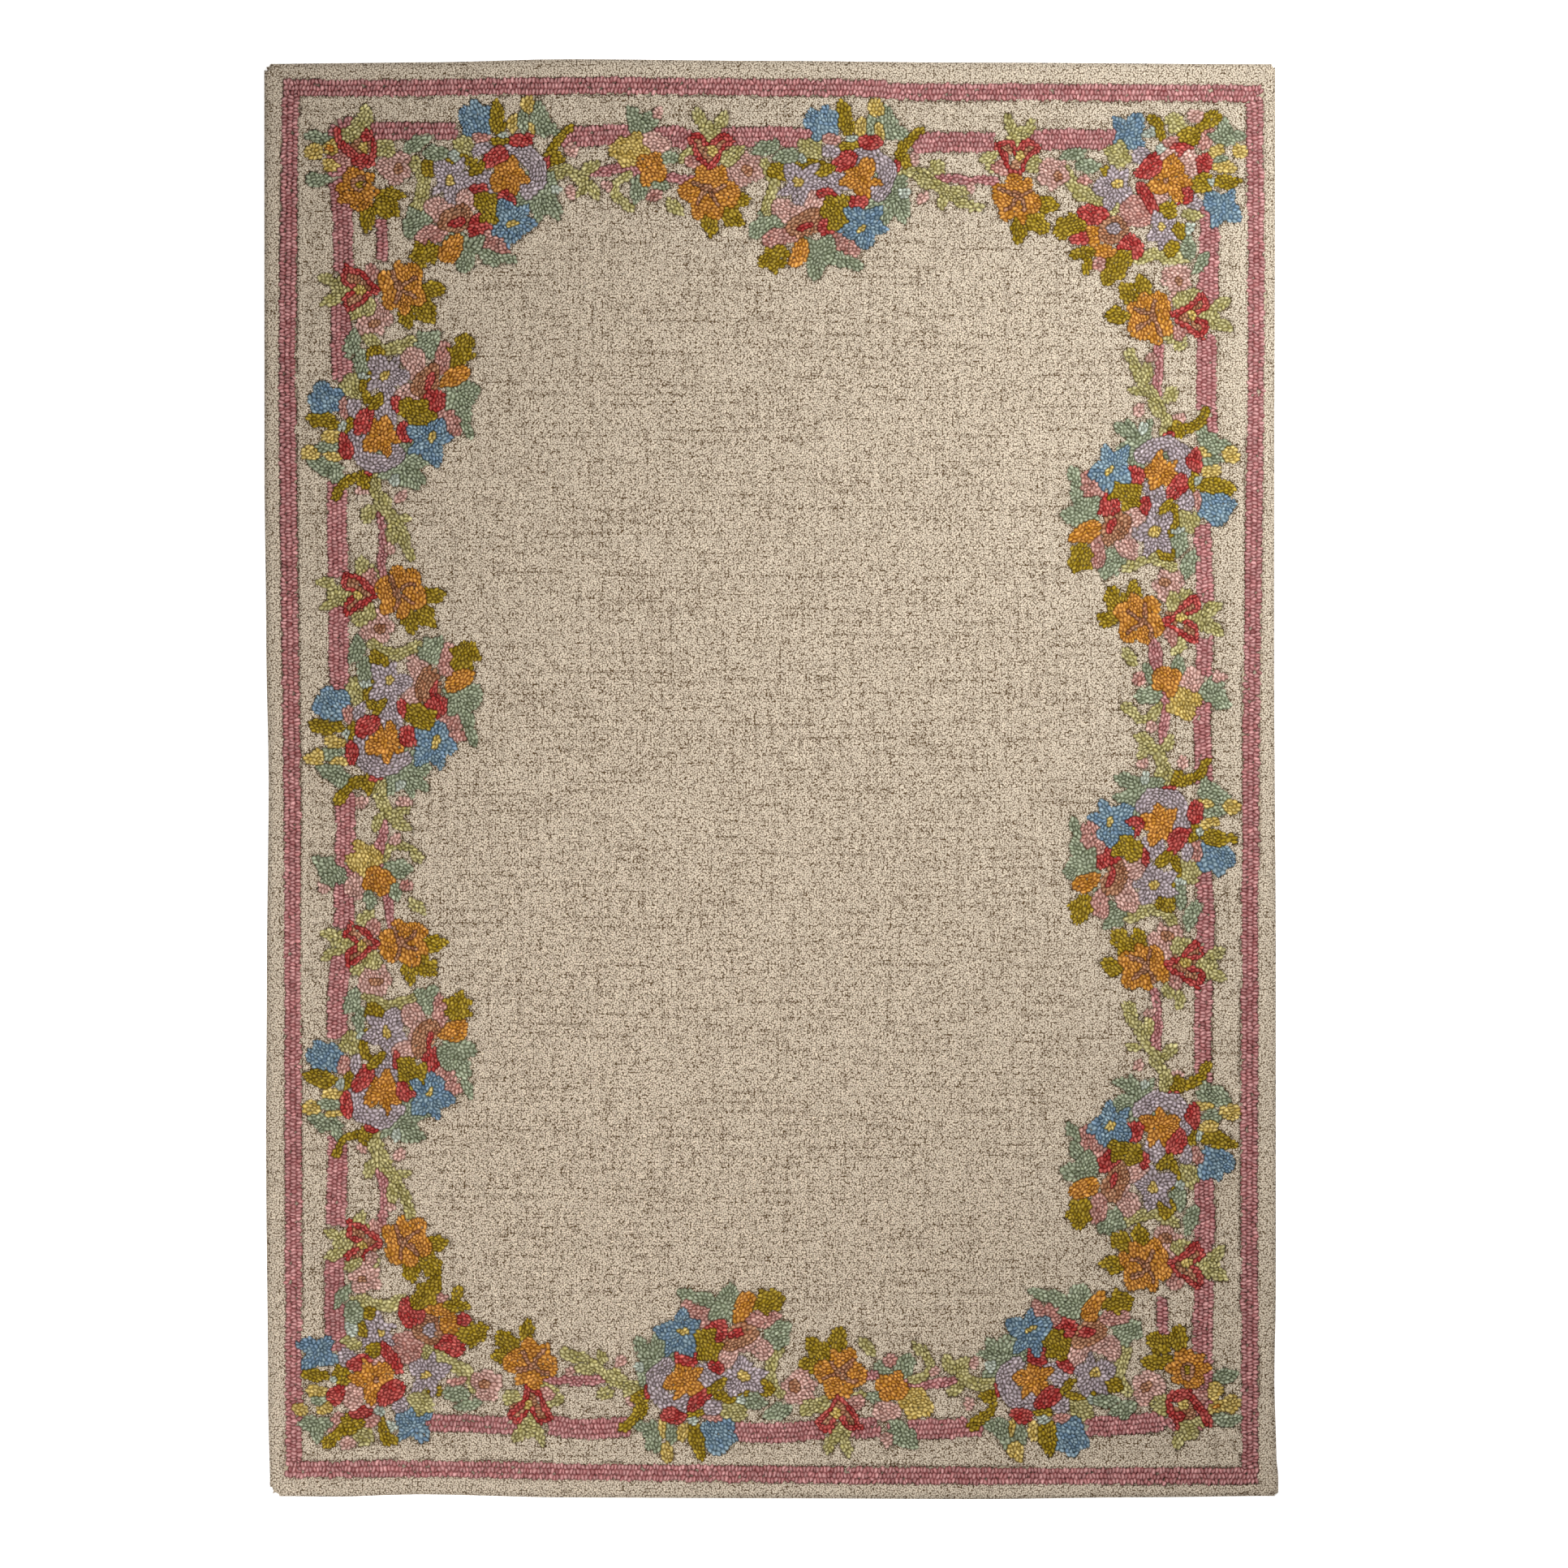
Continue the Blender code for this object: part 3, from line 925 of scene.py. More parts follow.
class BorderChart:
    """Draws the border's shapes over each other and fills what shows of each with loops."""

    def __init__(self, outline: RugOutline, rng: np.random.Generator) -> None:
        """Makes an empty chart.

        Args:
            outline: The rug's outline.
            rng: Source of the small differences between copies.
        """
        self.rng = rng
        self.origin = outline.low - CHART_MARGIN
        size = np.ceil((outline.high - outline.low + 2 * CHART_MARGIN) / RASTER_STEP).astype(int)
        self.owner = np.full(size, GROUND, np.int32)
        lengths = rng.uniform(*WARP_LENGTHS, (2, WARP_WAVES))
        ways = rng.uniform(0, 2 * math.pi, (2, WARP_WAVES))
        self.warp_waves = 2 * math.pi / lengths * np.array([np.cos(ways), np.sin(ways)])
        self.warp_starts = rng.uniform(0, 2 * math.pi, (2, WARP_WAVES))
        self.wools: list[Wool] = []
        self.grains: list[Grain] = []
        self.paths: dict[int, tuple[np.ndarray, float]] = {}

    def window(
        self, low: np.ndarray, high: np.ndarray
    ) -> tuple[tuple[slice, slice], np.ndarray, np.ndarray]:
        """Finds the cells of the chart between two corners.

        Args:
            low: Lowest corner.
            high: Highest corner.

        Returns:
            The cells' slices, and the x and y of their middles.
        """
        first = np.maximum(np.floor((low - self.origin) / RASTER_STEP).astype(int), 0)
        last = np.minimum(np.ceil((high - self.origin) / RASTER_STEP).astype(int) + 1, self.owner.shape)
        x = self.origin[0] + (np.arange(first[0], last[0]) + 0.5) * RASTER_STEP
        y = self.origin[1] + (np.arange(first[1], last[1]) + 0.5) * RASTER_STEP
        return (slice(first[0], last[0]), slice(first[1], last[1])), *np.meshgrid(x, y, indexing="ij")

    def warped(self, x: np.ndarray, y: np.ndarray, amount: float) -> tuple[np.ndarray, np.ndarray]:
        """Moves places by a few millimetres, as a shape strays from its drawing when it is hooked.

        Args:
            x: The places' x.
            y: The places' y.
            amount: How far they move, in millimetres.

        Returns:
            The moved x and y.
        """
        moved = []
        for axis, place in enumerate((x, y)):
            sway = np.zeros(x.shape)
            for wave in range(WARP_WAVES):
                along_x, along_y = self.warp_waves[:, axis, wave]
                sway += np.sin(along_x * x + along_y * y + self.warp_starts[axis, wave])
            moved.append(place + sway * amount * math.sqrt(2 / WARP_WAVES))
        return moved[0], moved[1]

    def owners_at(self, places: np.ndarray) -> np.ndarray:
        """Number of the shape that shows at each place, or that of the ground."""
        cells = np.floor((places - self.origin) / RASTER_STEP).astype(int)
        cells = np.clip(cells, 0, np.array(self.owner.shape) - 1)
        return self.owner[cells[:, 0], cells[:, 1]]

    def draw_line(self, wool: Wool, points: np.ndarray, width: float, in_rows: bool = False) -> None:
        """Draws a band or a vine.

        Args:
            wool: Its wool.
            points: Points of its middle line, in millimetres on the rug.
            width: Full width.
            in_rows: Whether its loops stand in rows, as a band's do.
        """
        line = smoothed(points)
        label = len(self.wools)
        self.wools.append(wool)
        legs = np.diff(line, axis=0)
        self.grains.append(Grain(line[:-1] + legs / 2, np.arctan2(legs[:, 1], legs[:, 0])))
        if in_rows:
            self.paths[label] = (line, width)
        reach = width / 2
        for index, (a, leg) in enumerate(zip(line, legs)):
            b = a + leg
            around = reach + MOST_WARP
            cells, x, y = self.window(np.minimum(a, b) - around, np.maximum(a, b) + around)
            x, y = self.warped(x, y, BAND_WARP if in_rows else SHAPE_WARP)
            share = ((x - a[0]) * leg[0] + (y - a[1]) * leg[1]) / max(leg @ leg, 1e-9)
            held = np.clip(share, 0, 1)
            near = np.hypot(x - a[0] - held * leg[0], y - a[1] - held * leg[1]) < reach
            if in_rows and index == 0:
                near &= share > 0
            if in_rows and index == len(legs) - 1:
                near &= share < 1
            self.owner[cells][near] = label

    def draw_patch(self, patch: Patch, middle: np.ndarray, along: np.ndarray, inward: np.ndarray) -> None:
        """Draws a leaf, petal or flower, a little different each time.

        Args:
            patch: The shape.
            middle: Middle of its motif on the rug.
            along: Direction along the border.
            inward: Direction towards the field.
        """
        shift = self.rng.normal(0, PATCH_SHIFT, 2)
        grow = self.rng.normal(*PATCH_GROWTH, 2)
        turn = math.radians(patch.turn + self.rng.normal(0, PATCH_TURN))
        wobble = self.rng.uniform(0, 2 * math.pi, 3)
        centre = middle + (patch.along + shift[0]) * along + (patch.inward + shift[1]) * inward
        first = math.cos(turn) * along + math.sin(turn) * inward
        second = -math.sin(turn) * along + math.cos(turn) * inward
        half_long = patch.length / 2 * grow[0]
        half_cross = patch.width / 2 * grow[1]
        around = max(half_long, half_cross) * PATCH_REACH + MOST_WARP
        cells, x, y = self.window(centre - around, centre + around)
        x, y = self.warped(x, y, SHAPE_WARP)
        p = ((x - centre[0]) * first[0] + (y - centre[1]) * first[1]) / half_long
        q = ((x - centre[0]) * second[0] + (y - centre[1]) * second[1]) / half_cross
        shape = self.leaf_shape if patch.form is Form.LEAF else self.round_shape
        near = shape(patch, p, q, wobble)
        self.owner[cells][near] = len(self.wools)
        self.wools.append(patch.wool)
        angle = np.array([math.atan2(first[1], first[0])])
        self.grains.append(Grain(centre[None], angle, patch.form is Form.SPIKED))

    @staticmethod
    def leaf_shape(patch: Patch, p: np.ndarray, q: np.ndarray, wobble: np.ndarray) -> np.ndarray:
        """Which places lie in a leaf: pointed at both ends, bent and ragged, the more so if it is wide.

        Args:
            patch: The leaf.
            p: Each place along the leaf, as a share of its half length.
            q: Each place across it, as a share of its half width.
            wobble: Three chance angles of this copy.

        Returns:
            Whether each place lies in it.
        """
        bend = LEAF_BEND * math.sin(wobble[0]) * (1 - p**2)
        ragged = LEAF_RAGGED + LEAF_RAGGED_MORE * max(patch.width - LEAF_PLAIN_WIDTH, 0)
        lobes = 1 + ragged * np.cos(LEAF_LOBES * math.pi * p + wobble[1] + np.where(q > 0, LEAF_OFFSET, 0))
        half = (1 - np.clip(np.abs(p), 0, 1) ** LEAF_POINT) ** LEAF_BELLY
        return (np.abs(q - bend) < lobes * half) & (np.abs(p) < 1)

    @staticmethod
    def round_shape(patch: Patch, p: np.ndarray, q: np.ndarray, wobble: np.ndarray) -> np.ndarray:
        """Which places lie in an oval or a flower.

        Args:
            patch: The oval or flower.
            p: Each place along it, as a share of its half length.
            q: Each place across it, as a share of its half width.
            wobble: Three chance angles of this copy.

        Returns:
            Whether each place lies in it.
        """
        angle = np.arctan2(q, p)
        radius = np.hypot(p, q)
        if patch.form is Form.OVAL:
            rim = 1 + OVAL_DENT * np.cos(2 * angle + wobble[0]) + OVAL_DENT * np.cos(3 * angle + wobble[1])
            return radius < rim
        bent = angle + PETAL_BEND * np.sin(2 * angle + wobble[0])
        petal = np.abs(np.cos(patch.lobes * bent / 2))
        if patch.form is Form.SPIKED:
            rim = SPIKE_CORE + SPIKE_PETAL * (1 - np.arccos(petal) / (math.pi / 2))
        else:
            rim = STAR_CORE + STAR_PETAL * petal
        return radius < rim + PETAL_UNEVEN * np.cos(angle + wobble[2])

    def draw_placement(self, placement: Placement) -> None:
        """Draws one motif where it lies."""
        along = np.array(placement.facing.value[0])
        inward = np.array(placement.facing.value[1])
        middle = np.array([placement.x, placement.y])
        for part in placement.motif:
            if isinstance(part, Vine):
                bends = np.array(part.points) + self.rng.normal(0, VINE_SHIFT, (len(part.points), 2))
                points = middle + bends[:, :1] * along + bends[:, 1:] * inward
                self.draw_line(part.wool, points, part.width)
            else:
                self.draw_patch(part, middle, along, inward)

    def line_region(self, label: int) -> Region:
        """Lays rows of loops along a band, where it isn't drawn over.

        Args:
            label: Its number on the chart.

        Returns:
            Its loops.
        """
        line, width = self.paths[label]
        rows = max(1, round(width / BAND_ROW))
        step = width / rows
        places = []
        axes = []
        for row in range(rows):
            spots, ways = spread(line, BAND_LOOP)
            across = np.column_stack([-ways[:, 1], ways[:, 0]])
            offset = (row + 0.5) * step - width / 2
            slide = self.rng.normal(0, ROW_SLIDE, (len(spots), 2)) + [BAND_LOOP * 0.5 * (row % 2), 0]
            places.append(spots + across * (offset + slide[:, 1:]) + ways * slide[:, :1])
            axes.append(np.arctan2(across[:, 1], across[:, 0]) + self.rng.normal(0, LOOP_LEAN, len(spots)))
        spots = np.vstack(places)
        kept = self.owners_at(spots) == label
        return Region(self.wools[label], spots[kept], np.concatenate(axes)[kept])

    def patch_region(self, label: int, cells: np.ndarray) -> Region:
        """Packs loops side by side in what shows of a patch.

        Args:
            label: Its number on the chart.
            cells: Middles of the chart's cells where it shows.

        Returns:
            Its loops.
        """
        count = max(1, round(len(cells) * RASTER_STEP**2 / LOOP_AREA))
        spots = cells[self.rng.choice(len(cells), count, replace=False)]
        lean = self.rng.normal(0, LOOP_LEAN, count)
        for _ in range(RELAX_ROUNDS):
            measure = loop_measure(self.grains[label].at(spots) + lean)
            away = cells[:, None] - spots[None]
            nearest = np.einsum("csi,sij,csj->cs", away, measure, away).argmin(axis=1)
            sizes = np.bincount(nearest, minlength=count)
            sums = np.column_stack([np.bincount(nearest, cells[:, k], count) for k in (0, 1)])
            spots = np.where(sizes[:, None] > 0, sums / np.maximum(sizes, 1)[:, None], spots)
        kept = sizes * RASTER_STEP**2 > LEAST_LOOP_AREA
        return Region(self.wools[label], spots[kept], (self.grains[label].at(spots) + lean)[kept])

    def regions(self) -> list[Region]:
        """Fills every shape that shows with loops, and gives slivers too small for one to the ground.

        Returns:
            The loops of each shape.
        """
        taken = np.argwhere(self.owner >= 0)
        labels = self.owner[taken[:, 0], taken[:, 1]]
        order = np.argsort(labels, kind="stable")
        taken, labels = taken[order], labels[order]
        starts = np.searchsorted(labels, np.arange(len(self.wools) + 1))
        found = []
        for label in range(len(self.wools)):
            cells = taken[starts[label] : starts[label + 1]]
            if len(cells) < LEAST_SHAPE_CELLS:
                continue
            if label in self.paths:
                found.append(self.line_region(label))
            else:
                found.append(self.patch_region(label, self.origin + (cells + 0.5) * RASTER_STEP))
        found = [region for region in found if len(region.places)]
        places = np.vstack([region.places for region in found])
        cells = np.floor((places - self.origin) / RASTER_STEP).astype(int)
        nearest = np.full(self.owner.shape, np.inf)
        span = math.ceil(ROW_HOLD / RASTER_STEP)
        for dx in range(-span, span + 1):
            for dy in range(-span, span + 1):
                gap = math.hypot(dx, dy) * RASTER_STEP
                if gap < ROW_HOLD:
                    spot = cells[:, 0] + dx, cells[:, 1] + dy
                    nearest[spot] = np.minimum(nearest[spot], gap)
        in_rows = np.isin(self.owner, list(self.paths))
        self.owner[nearest >= np.where(in_rows, ROW_HOLD, LOOP_HOLD)] = GROUND
        return found

    def covered(self) -> np.ndarray:
        """Where the ground pile is left out, a cell inside every shape's rim."""
        taken = self.owner >= 0
        core = taken.copy()
        core[1:] &= taken[:-1]
        core[:-1] &= taken[1:]
        core[:, 1:] &= taken[:, :-1]
        core[:, :-1] &= taken[:, 1:]
        return core


def mesh_piece(name: str, points: np.ndarray, faces: np.ndarray, yarn: np.ndarray) -> bpy.types.Object:
    """Builds a piece from triangles, with its yarn colours and a flat map of its points seen from above.

    Args:
        name: The piece's name.
        points: Its points, in millimetres.
        faces: Its triangles.
        yarn: Tone, painted shade share (0 the crevice's painted shade, 1 the wool's full colour, rising
            with height) and chance value of each point.

    Returns:
        The piece, linked to the scene.
    """
    mesh = bpy.data.meshes.new(name)
    mesh.vertices.add(len(points))
    mesh.vertices.foreach_set("co", (points * MM).astype(np.float32).ravel())
    mesh.loops.add(3 * len(faces))
    mesh.loops.foreach_set("vertex_index", faces.astype(np.int32).ravel())
    mesh.polygons.add(len(faces))
    mesh.polygons.foreach_set("loop_start", np.arange(0, 3 * len(faces), 3, dtype=np.int32))
    mesh.update(calc_edges=True)
    mesh.polygons.foreach_set("use_smooth", np.ones(len(faces), bool))
    layer = mesh.color_attributes.new(YARN_ATTRIBUTE, "FLOAT_COLOR", "POINT")
    colours = np.column_stack([yarn, np.ones(len(yarn))]).astype(np.float32)
    layer.data.foreach_set("color", colours.ravel())
    flat = points[faces.ravel(), :2]
    low = points[:, :2].min(axis=0)
    size = (points[:, :2].max(axis=0) - low).max()
    layer = mesh.uv_layers.new(name=BAKE_LAYER)
    layer.data.foreach_set("uv", ((flat - low) / size).astype(np.float32).ravel())
    piece = bpy.data.objects.new(name, mesh)
    bpy.context.scene.collection.objects.link(piece)
    return piece


class BorderPile:
    """The coarse loops of the bands, leaves and flowers, one piece for each wool."""

    def __init__(self, regions: list[Region], rng: np.random.Generator) -> None:
        """Gathers the loops.

        Args:
            regions: The loops of each shape.
            rng: Source of the small differences between loops.
        """
        self.rng = rng
        wools = list(Wool)
        self.places = np.vstack([region.places for region in regions])
        self.axes = np.concatenate([region.axes for region in regions])
        counts = [len(region.places) for region in regions]
        self.wool = np.repeat([wools.index(region.wool) for region in regions], counts)
        self.shape = np.repeat(np.arange(len(regions)), counts)
        self.shape_tone = np.repeat(rng.normal(0, SHAPE_TONE, len(regions)), counts)
        ring = (np.arange(6) + 0.5) * math.pi / 3 + rng.normal(0, RING_UNEVEN, (len(self.places), 6))
        ring = np.arctan2(np.sin(ring) / LOOP_STRETCH, np.cos(ring) * LOOP_STRETCH)
        angles = self.axes[:, None] + ring
        self.ways = np.stack([np.cos(angles), np.sin(angles)], axis=2)

    def extents(self) -> tuple[np.ndarray, np.ndarray, np.ndarray]:
        """How far each loop reaches in each of its six directions before it meets another.

        Returns:
            One row of six distances for each loop, whether another loop is met there, and whether its
            shape ends there.
        """
        tree = KDTree(len(self.places))
        for index, (x, y) in enumerate(self.places):
            tree.insert((x, y, 0), index)
        tree.balance()
        closest = (tree.find_n((x, y, 0), NEIGHBOURS + 1)[1:] for x, y in self.places)
        beside = np.array([[found[1] for found in others] for others in closest])
        measure = loop_measure(self.axes)
        away = self.places[beside] - self.places[:, None]
        own = np.einsum("nki,nij,nkj->nk", self.ways, measure, self.ways)
        theirs = np.einsum("nki,nmij,nkj->nkm", self.ways, measure[beside], self.ways)
        toward = np.einsum("nki,nmij,nmj->nkm", self.ways, measure[beside], away)
        apart = np.einsum("nmi,nmij,nmj->nm", away, measure[beside], away)[:, None]
        root = toward**2 + (own[:, :, None] - theirs) * apart
        lower = toward + np.sqrt(np.maximum(root, 0))
        limits = np.where((root >= 0) & (lower > TINY), apart / np.maximum(lower, TINY), NOT_MET)
        first = np.take_along_axis(beside, limits.argmin(axis=2), axis=1)
        limit = limits.min(axis=2)
        reach = LOOP_REACH / np.sqrt(own)
        met = limit < reach * MET_MARGIN
        rim = ~met | (self.shape[first] != self.shape[:, None])
        return np.maximum(np.minimum(reach, limit), LEAST_REACH), met, rim

    def build(self) -> list[tuple[Wool, bpy.types.Object]]:
        """Builds the crowned loops.

        Returns:
            Each wool that is used, with its piece.
        """
        count = len(self.places)
        reach, met, rim = self.extents()
        top = COARSE_TOP + self.rng.normal(0, TOP_UNEVEN, count)
        ways = self.ways
        middle = self.places[:, None, :]
        foot = middle + ways * (reach * np.where(met, FOOT_TUCK, 1.0))[:, :, None]
        shoulder = middle + ways * np.maximum(reach - SHOULDER_IN, reach * SHOULDER_LEAST)[:, :, None]
        ends = (reach[:, [0, 2]] + reach[:, [5, 3]]) / 2 * [RIDGE_REACH, -RIDGE_REACH]
        along = np.column_stack([np.cos(self.axes), np.sin(self.axes)])
        ridge = middle + along[:, None] * ends[:, :, None]
        flat = np.concatenate([foot, shoulder, ridge], axis=1)
        heights = np.empty((count, LOOP_POINTS))
        heights[:, :6] = np.where(met, COARSE_GAP - RIM_GAP_DROP * rim, COARSE_FOOT)
        heights[:, 6:12] = (top - SHOULDER_DROP)[:, None] + self.rng.normal(0, SHOULDER_UNEVEN, (count, 6))
        heights[:, 6:12] -= RIM_SHOULDER_DROP * rim
        heights[:, 12:] = top[:, None] + self.rng.normal(0, RIDGE_UNEVEN, (count, 2))
        points = np.concatenate([flat, heights[:, :, None]], axis=2)
        tone = np.clip(0.5 + self.shape_tone + self.rng.normal(0, LOOP_TONE, count), *TONE_LIMITS)
        chance = self.rng.uniform(0, 1, count)
        # Painted shade: the foot ring takes the crevice's shade colour, the shoulder ring part of it and
        # the ridge the wool's full colour; loops at a shape's rim are darker still as painted shadow
        share = np.tile([0.0] * 6 + [SHOULDER_SHARE] * 6 + [1.0] * 2, (count, 1))
        foot_share = self.rng.normal(*FOOT_SHARE, (count, 6)) - RIM_FOOT_SHADE * rim
        share[:, :6] = np.clip(foot_share, 0, FOOT_SHARE_MOST)
        share[:, 6:12] += crisp(self.rng.normal(0, SHARE_UNEVEN, (count, 6))) - RIM_SHOULDER_SHADE * rim
        share *= np.clip(1 + self.rng.normal(*LOOP_SHADE, (count, 1)), *LOOP_SHADE_LIMITS)
        yarn = np.empty((count, LOOP_POINTS, 3))
        yarn[:, :, 0] = tone[:, None]
        yarn[:, :, 1] = share
        yarn[:, :, 2] = chance[:, None]
        faces = self.loop_faces()
        made = []
        for index, wool in enumerate(Wool):
            own = np.flatnonzero(self.wool == index)
            if not len(own):
                continue
            all_faces = (faces[None] + LOOP_POINTS * np.arange(len(own))[:, None, None]).reshape(-1, 3)
            name = wool.value.replace("_wool", "_loops")
            piece = mesh_piece(name, points[own].reshape(-1, 3), all_faces, yarn[own].reshape(-1, 3))
            made.append((wool, piece))
        return made

    @staticmethod
    def loop_faces() -> np.ndarray:
        """The triangles of one loop: foot ring 0 to 5, shoulder ring 6 to 11, ridge 12 and 13."""
        faces = []
        for k in range(6):
            after = (k + 1) % 6
            faces.append((k, after, 6 + after))
            faces.append((k, 6 + after, 6 + k))
        faces += [(11, 6, 12), (6, 7, 12), (10, 11, 12), (7, 8, 13), (8, 9, 13), (9, 10, 13)]
        faces += [(7, 13, 12), (10, 12, 13)]
        return np.array(faces)


class GroundPile:
    """The cream pile of the field and of the strips beside the bands."""

    pieces = 4

    def __init__(self, outline: RugOutline, chart: BorderChart, rng: np.random.Generator) -> None:
        """Lays out the lattice of loops.

        Args:
            outline: The rug's outline.
            chart: The chart of the border's shapes.
            rng: Source of the small differences between loops.
        """
        self.rng = rng
        self.outline = outline
        size = outline.high - outline.low
        self.columns, self.rows = (round(length / GROUND_PITCH) for length in size)
        across, along = np.arange(self.columns + 1), np.arange(self.rows + 1)
        self.corner_x, self.corner_y = self.places(across, along)
        self.mid_x, self.mid_y = self.places(across[:-1] + 0.5, along[:-1] + 0.5)
        depth = outline.inside(self.mid_x, self.mid_y)
        core = chart.covered()
        cells = np.stack([self.mid_x, self.mid_y], axis=2)
        cells = np.floor((cells - chart.origin) / RASTER_STEP).astype(int)
        self.kept = (depth > EDGE_MARGIN) & ~core[cells[:, :, 0], cells[:, :, 1]]

    def places(self, across: np.ndarray, along: np.ndarray) -> tuple[np.ndarray, np.ndarray]:
        """Places points of the lattice.

        Args:
            across: Their places across the rug, counted in cells.
            along: Their places along the rug, counted in cells.

        Returns:
            The points' x and y, each a grid.
        """
        return self.outline.lattice(*np.meshgrid(across / self.columns, along / self.rows, indexing="ij"))

    def streaks(self) -> np.ndarray:
        """Tone of each cell: short lighter and darker streaks both ways, as the hooked rows have.

        Returns:
            A tone for each cell, about 0.5 in the middle.
        """
        shape = (self.columns, self.rows)
        tone = np.full(shape, 0.5)
        for axis, length, share in STREAKS:
            kernel = hump(length)
            kernel /= np.sqrt((kernel**2).sum())
            tone += share * convolved(self.rng.normal(0, 1, shape), axis, kernel)
        tone += crisp(self.rng.normal(0, CELL_TONE, shape))
        tone += COLUMN_TONE * self.columns_apart(shape)
        return np.clip(tone, 0, 1)

    def columns_apart(self, shape: tuple[int, int]) -> np.ndarray:
        """Noise in short columns that stand about three loops apart, as the hooking follows the canvas.

        Args:
            shape: Number of loops across and along.

        Returns:
            The noise, of unit spread.
        """
        noise = convolved(self.rng.normal(0, 1, shape), 1, np.hanning(COLUMN_LENGTH))
        noise = convolved(noise, 0, beat(COLUMN_PERIOD))
        return noise / noise.std()

    def hollows(self, field: np.ndarray) -> np.ndarray:
        """How full the pile stands between the cells: mostly full, with pits that line up in short rows.

        Args:
            field: Whether each place between four cells is in the field.

        Returns:
            A height share for each place, lower in a pit, which also sets the painted shade there.
        """
        pits = self.rng.normal(0, 1, field.shape)
        for axis, length, weight in PIT_RUNS:
            run = convolved(self.rng.normal(0, 1, field.shape), axis, hump(length))
            run = convolved(run, 1 - axis, beat(PIT_PERIOD))
            run /= run.std()
            strength = self.rng.normal(*PIT_STRENGTH, field.shape)
            pits += weight * np.clip(run - PIT_RUN_FROM, 0, PIT_RUN_MOST) * strength
        depth = np.clip(pits + np.where(field, FIELD_PITS, STRIP_PITS), 0, PIT_DEEPEST)
        return np.clip(FULL_SHARE - PIT_SHARE * depth, LEAST_SHARE, 1)

    def build(self) -> list[bpy.types.Object]:
        """Builds the crowned cells, which share their valleys.

        Returns:
            The pieces.
        """
        rng = self.rng
        corner_shape = self.corner_x.shape
        field = self.outline.inside(self.corner_x, self.corner_y) > FIELD_FROM
        sway = np.where(field, FIELD_SWAY, STRIP_SWAY)
        zig = np.where(field, FIELD_ZIG, STRIP_ZIG) * GROUND_PITCH
        column, row = np.indices(corner_shape)
        x = self.corner_x + rng.normal(0, 1, corner_shape) * sway + zig * (-1.0) ** row
        y = self.corner_y + rng.normal(0, 1, corner_shape) * sway + zig * (-1.0) ** column
        edge = np.zeros(corner_shape, bool)
        edge[[0, -1]] = True
        edge[:, [0, -1]] = True
        x = np.where(edge, self.corner_x, x)
        y = np.where(edge, self.corner_y, y)
        depth = np.clip(self.outline.inside(x, y), 0, None)
        fullness_and_shade = self.hollows(field)
        valley = GROUND_VALLEY + (GROUND_BRIM - GROUND_VALLEY) * fullness_and_shade - rim_fall(depth)
        valley += crisp(rng.normal(0, VALLEY_UNEVEN, corner_shape))
        whole = np.zeros((self.columns + 2, self.rows + 2), bool)
        whole[1:-1, 1:-1] = self.kept
        bordered = whole[1:, 1:] & whole[:-1, 1:] & whole[1:, :-1] & whole[:-1, :-1]
        outermost = depth < EDGE_WIDTH
        valley = np.where(bordered, valley, GROUND_SINK)
        # Painted shadow: inward of the outer strip, the valleys along every motif's edge take a dark share
        # of colour only; their height is already set
        fullness_and_shade = np.where(bordered | (depth < BAND_BACK), fullness_and_shade, MOTIF_EDGE_SHADE)
        valley = np.where(~bordered & outermost, EDGE_FOOT, valley)
        mid_depth = np.clip(self.outline.inside(self.mid_x, self.mid_y), 0, None)
        top = GROUND_TOP - rim_fall(mid_depth) + crisp(rng.normal(0, CELL_UNEVEN, self.mid_x.shape))
        mid_x = self.mid_x + rng.normal(0, CELL_UNEVEN, self.mid_x.shape)
        mid_y = self.mid_y + rng.normal(0, CELL_UNEVEN, self.mid_x.shape)
        tone = self.streaks()
        chance = rng.uniform(0, 1, tone.shape)
        corner_points = np.stack([x, y, valley], axis=2).reshape(-1, 3)
        mid_points = np.stack([mid_x, mid_y, top], axis=2).reshape(-1, 3)
        points = np.vstack([corner_points, mid_points])
        wide_tone = np.pad(tone, 1, mode="edge")
        corner_tone = wide_tone[1:, 1:] + wide_tone[:-1, 1:] + wide_tone[1:, :-1] + wide_tone[:-1, :-1]
        yarn = np.zeros((len(points), 3))
        split = len(corner_points)
        yarn[:split, 0] = corner_tone.ravel() / 4
        # Painted shade: the valley points take the pits' share, so the colour darkens in the pits as well
        # as the pile dipping there
        yarn[:split, 1] = fullness_and_shade.ravel()
        yarn[:split, 2] = 0.5
        yarn[split:] = np.column_stack([tone.ravel(), np.ones(tone.size), chance.ravel()])
        faces = self.cell_faces(split)
        bounds = np.linspace(0, self.rows, self.pieces + 1).astype(int)
        row_of = np.tile(np.arange(self.rows), self.columns)
        made = []
        for index in range(self.pieces):
            own = self.kept.ravel() & (row_of >= bounds[index]) & (row_of < bounds[index + 1])
            used, packed = np.unique(faces[own], return_inverse=True)
            packed = packed.reshape(-1, 3)
            piece = mesh_piece(f"ground_loops_{index + 1}", points[used], packed, yarn[used])
            self.crease(piece, used < split)
            made.append(piece)
        return made

    def cell_faces(self, split: int) -> np.ndarray:
        """The four triangles of every cell.

        Args:
            split: Number of valley points, which come first.

        Returns:
            An array of cells, by four, by three point numbers.
        """
        i, j = np.meshgrid(np.arange(self.columns), np.arange(self.rows), indexing="ij")
        step = self.rows + 1
        a = (i * step + j).ravel()
        b = a + step
        c = b + 1
        d = a + 1
        peak = split + np.arange(a.size)
        sides = [np.column_stack(pair) for pair in ((a, b, peak), (b, c, peak), (c, d, peak), (d, a, peak))]
        return np.stack(sides, axis=1)

